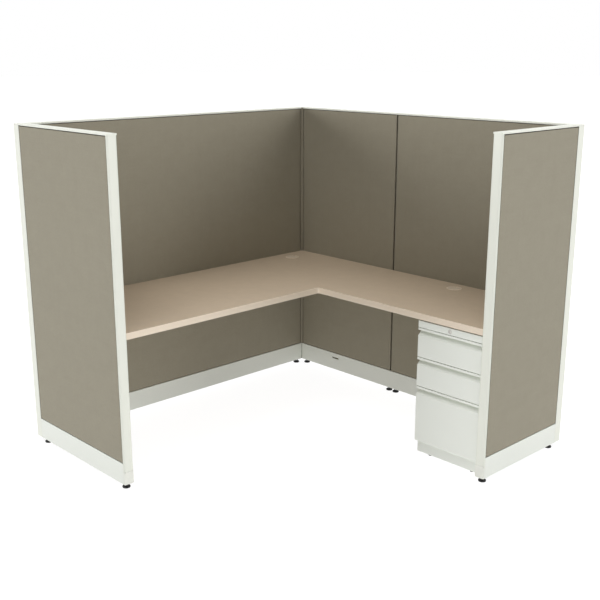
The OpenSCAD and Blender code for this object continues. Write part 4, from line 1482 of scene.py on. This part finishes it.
@dataclass
class Fasteners:
    """The screws under the worktop."""

    shop: Workshop
    seed: int = 11
    recess_arm: float = 2.6 * MM
    recess_width: float = 0.9 * MM
    recess_depth: float = 1.4 * MM
    # Shares of the head's radius at heights above its face.
    head: tuple[Point2, ...] = (
        (0.55, 0.0),
        (0.82, 0.35 * MM),
        (0.97, 1.1 * MM),
        (1.0, 1.9 * MM),
        (0.97, 3 * MM),
    )
    shank: float = 0.5
    thread: Thread = Thread(1.9 * MM, 0.72, 0.35)
    tip: float = 4 * MM
    sides: int = 24

    def build(self) -> None:
        """Build the screws on the places of their CAD solids."""
        lengths: dict[int, list[Solid]] = {}
        for solid in solids(self.shop.node("worktop_screws")):
            lengths.setdefault(round(solid.height / MM), []).append(solid)
        placed = PlacedPieces("worktop_screws", Finishes.ZINC, self.seed)
        for number, length in enumerate(sorted(lengths)):
            template = self.screw(lengths[length][0])
            points = [solid.foot for solid in lengths[length]]
            made = placed.place(f"worktop_screws.{length}", template, points)
            self.shop.hand_in(made, Finishes.ZINC, "" if number else "worktop_screws")

    def screw(self, solid: Solid) -> BMesh:
        """Build a pan-head screw that stands on its head, with a cross recess.

        Args:
            solid: The CAD solid that gives its size.

        Returns:
            The screw.
        """
        shank, length = solid.radius * self.shank, solid.height
        profile = [(solid.radius * share, height) for share, height in self.head]
        profile.append((shank, profile[-1][1]))
        profile += self.thread.turns(shank, profile[-1][1], length - self.tip)
        last = profile[-1][1] + self.thread.pitch
        profile += [(shank * self.thread.root, last), (0.0, length)]
        screw = linked("screw.solid", finished("screw.solid", lathe(profile, self.sides)))
        cutter = bmesh.new()
        arm = Matrix.Diagonal((2 * self.recess_arm, self.recess_width, 2 * self.recess_depth, 1))
        for turn in (0.0, QUARTER):
            place = Matrix.Rotation(turn, 4, "Z") @ arm
            bmesh.ops.create_cube(cutter, size=1.0, matrix=place)
        tool = linked("screw.tool", finished("screw.tool", cutter))
        modified(
            screw, "BOOLEAN", object=tool, operation="DIFFERENCE", solver="EXACT", use_self=True
        )
        shape = opened(screw.data)
        for made in (screw, tool):
            bpy.data.objects.remove(made)
        return shape


@dataclass
class Feet:
    """The glides under the panels and the levellers under the pedestal."""

    shop: Workshop
    # Shares of the foot's radius and height, from the tread to the collar.
    tread: tuple[Point2, ...] = (
        (0.0, 0.0),
        (0.9, 0.0),
        (0.97, 0.05),
        (1.0, 0.16),
        (1.0, 0.42),
        (0.97, 0.52),
        (0.86, 0.62),
        (0.62, 0.74),
        (0.58, 0.8),
        (0.58, 0.96),
        (0.54, 1.0),
        (0.0, 1.0),
    )
    foot_sides: int = 40
    stem_sides: int = 16
    stem_end: float = 0.8
    stem_seat: float = 0.5
    thread: Thread = Thread(1.5 * MM, 0.86, 0.5)
    # The nut's radius as a share of the foot's or of the stem's, whichever is smaller.
    nut_of_foot: float = 0.52
    nut_of_stem: float = 1.9
    nut_sides: int = 6
    # Shares of the nut's radius at heights above the foot.
    nut: tuple[Point2, ...] = ((0.92, 0.0), (1.0, 0.5 * MM), (1.0, 3.5 * MM), (0.92, 4 * MM))

    def build(self) -> None:
        """Build both sets of feet with their threaded stems."""
        self.build_set("panel_glides", height=14 * MM, stem=5 * MM, seed=21)
        self.build_set("pedestal_levellers", height=8 * MM, stem=4 * MM, seed=22)

    def build_set(self, node: str, height: float, stem: float, seed: int) -> None:
        """Build one set of feet on the places of its CAD solids.

        Args:
            node: The CAD node.
            height: The height of a foot.
            stem: The radius of its stem.
            seed: Fixes how each foot is turned.
        """
        found = solids(self.shop.node(node))
        points = [solid.foot for solid in found]
        radius = found[0].radius
        foot = lathe([(radius * x, height * z) for x, z in self.tread], self.foot_sides)
        feet = PlacedPieces(node, Finishes.RUBBER, seed)
        made = feet.place(node + ".feet", foot, points)
        self.shop.hand_in(made, Finishes.RUBBER, node)
        stems = PlacedPieces(node + "_stems", Finishes.ZINC, seed + 10)
        made = stems.place(node + ".stems", self.stem(stem, height, found[0]), points)
        self.shop.hand_in(made, Finishes.ZINC)

    def stem(self, radius: float, start: float, solid: Solid) -> BMesh:
        """Build a threaded stem with a hexagonal nut where it leaves the foot.

        Args:
            radius: The stem's radius.
            start: The height at which it leaves the foot.
            solid: The CAD solid, which gives its top and the room for the nut.

        Returns:
            The stem and its nut.
        """
        top, seat = solid.height, start * self.stem_seat
        profile: list[Point2] = [(0.0, seat), (radius * self.thread.root, seat)]
        profile += self.thread.turns(radius, start, top - self.thread.pitch)
        profile += [(radius * self.stem_end, top), (0.0, top)]
        flat = min(solid.radius * self.nut_of_foot, radius * self.nut_of_stem)
        nut = [(flat * share, start + height) for share, height in self.nut]
        return lathe(nut, self.nut_sides, lathe(profile, self.stem_sides))


@dataclass
class Pedestal:
    """The drawer pedestal: its case, header, lock, drawers and slides."""

    shop: Workshop
    sheet_edge: float = 0.65 * MM
    front_edge: float = 0.7 * MM
    rail_edge: float = 0.4 * MM
    rail_segments: int = 2
    hanger_edge: float = 0.8 * MM
    tray_edge: float = 0.6 * MM
    lock_edge: float = 0.35 * MM

    def build(self) -> None:
        """Build softened copies of the steelwork and dress the small parts."""
        soften = self.shop.soften
        soften(Finishes.PEDESTAL, self.sheet_edge, "pedestal_case", "pedestal_header")
        for drawer in ("upper_drawer", "middle_drawer", "file_drawer"):
            soften(Finishes.PEDESTAL, self.front_edge, drawer + "_front")
            soften(Finishes.PEDESTAL, self.sheet_edge, drawer + "_tray")
            self.soften_rails(drawer + "_rails")
        self.soften_rails("pedestal_fixed_rails", "file_middle_rails")
        soften(Finishes.ZINC, self.hanger_edge, "file_hang_rails")
        soften(Finishes.BLACK_PLASTIC, self.tray_edge, "pencil_tray")
        soften(Finishes.NICKEL, self.lock_edge, "lock_core")
        self.shop.dress(Finishes.ZINC, "lock_bar")
        self.shop.dress(Finishes.RUBBER, "pedestal_spacers")

    def soften_rails(self, *names: str) -> None:
        """Stand softened copies in for rails, whose edges are finer."""
        self.shop.soften(Finishes.ZINC, self.rail_edge, *names, segments=self.rail_segments)


@dataclass
class Studio:
    """The pale floor, the soft lights and the camera at the photograph's place."""

    floor: Finish = LitFloor("pale_floor", slot="", base=(0.25, 0.25, 0.25))
    floor_reach: float = 60.0
    sky_seen: float = 1.0
    sky_mirrored: float = 0.5
    sky_given: float = 0.05
    lights: tuple[SoftLight, ...] = (
        SoftLight("over_the_front", (0.2, -1.0, 2.2), 0.235, 30.0),
        SoftLight("over_the_opening", (0.5, -0.5, 1.4), 0.193),
        SoftLight("over_the_walls", (-0.5, 0.5, 1.0), 0.624),
        SoftLight("left", (-0.8, -1.0, 0.1), 0.49, 30.0),
        SoftLight("right", (1.0, 0.55, 0.1), 0.62),
    )
    camera_place: Triple = (3.2761, -3.11368, 1.98425)
    camera_heading: Triple = (-0.69909, 0.66362, -0.26623)
    # The focal length and the shift are shares of the picture's width.
    focal: float = 932.62 / PICTURE
    shift: Point2 = (3.78 / PICTURE, 6.34 / PICTURE)

    def build(self) -> None:
        """Build the floor, the sky, the lights and the camera."""
        self.build_floor()
        self.build_sky()
        for light in self.lights:
            light.build()
        self.build_camera()
        bpy.context.scene.view_settings.view_transform = "Standard"

    def build_floor(self) -> None:
        """Build the floor, which is no part of the station."""
        shape = bmesh.new()
        bmesh.ops.create_grid(shape, x_segments=4, y_segments=4, size=self.floor_reach)
        made = linked("studio_floor", finished("studio_floor", shape))
        made.data.materials.append(self.floor.material)

    def build_sky(self) -> None:
        """Build a white sky that gives less light than it shows."""
        bpy.context.scene.world = bpy.data.worlds.new("sky")
        graph = ShaderGraph(bpy.context.scene.world)
        path = graph.node("ShaderNodeLightPath").outputs
        seen = Signal(graph, path["Is Camera Ray"]) * (self.sky_seen - self.sky_given)
        mirrored = Signal(graph, path["Is Glossy Ray"]) * (self.sky_mirrored - self.sky_given)
        glow = {"Color": WHITE, "Strength": self.sky_given + seen + mirrored}
        graph.node("ShaderNodeOutputWorld", {0: graph.node("ShaderNodeBackground", glow)})

    def build_camera(self) -> None:
        """Build the camera."""
        lens = bpy.data.cameras.new("camera")
        lens.lens = self.focal * lens.sensor_width
        lens.shift_x, lens.shift_y = self.shift
        made = linked("camera", lens)
        turn = Vector(self.camera_heading).to_track_quat("-Z", "Y").to_matrix().to_4x4()
        made.matrix_world = Matrix.Translation(self.camera_place) @ turn
        bpy.context.scene.camera = made


def main() -> None:
    """Load the frame, build the station's looks around it and set up the studio."""
    logging.basicConfig(level=logging.INFO, format="%(message)s")
    shop = Workshop(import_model())
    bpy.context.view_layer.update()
    for part in (
        FabricTiles(shop),
        PanelFrames(shop),
        WhiteTrims(shop),
        Worktop(shop),
        Fasteners(shop),
        Feet(shop),
        Pedestal(shop),
        Studio(),
    ):
        log.info("== %s", type(part).__name__)
        part.build()


if __name__ == "__main__":
    main()
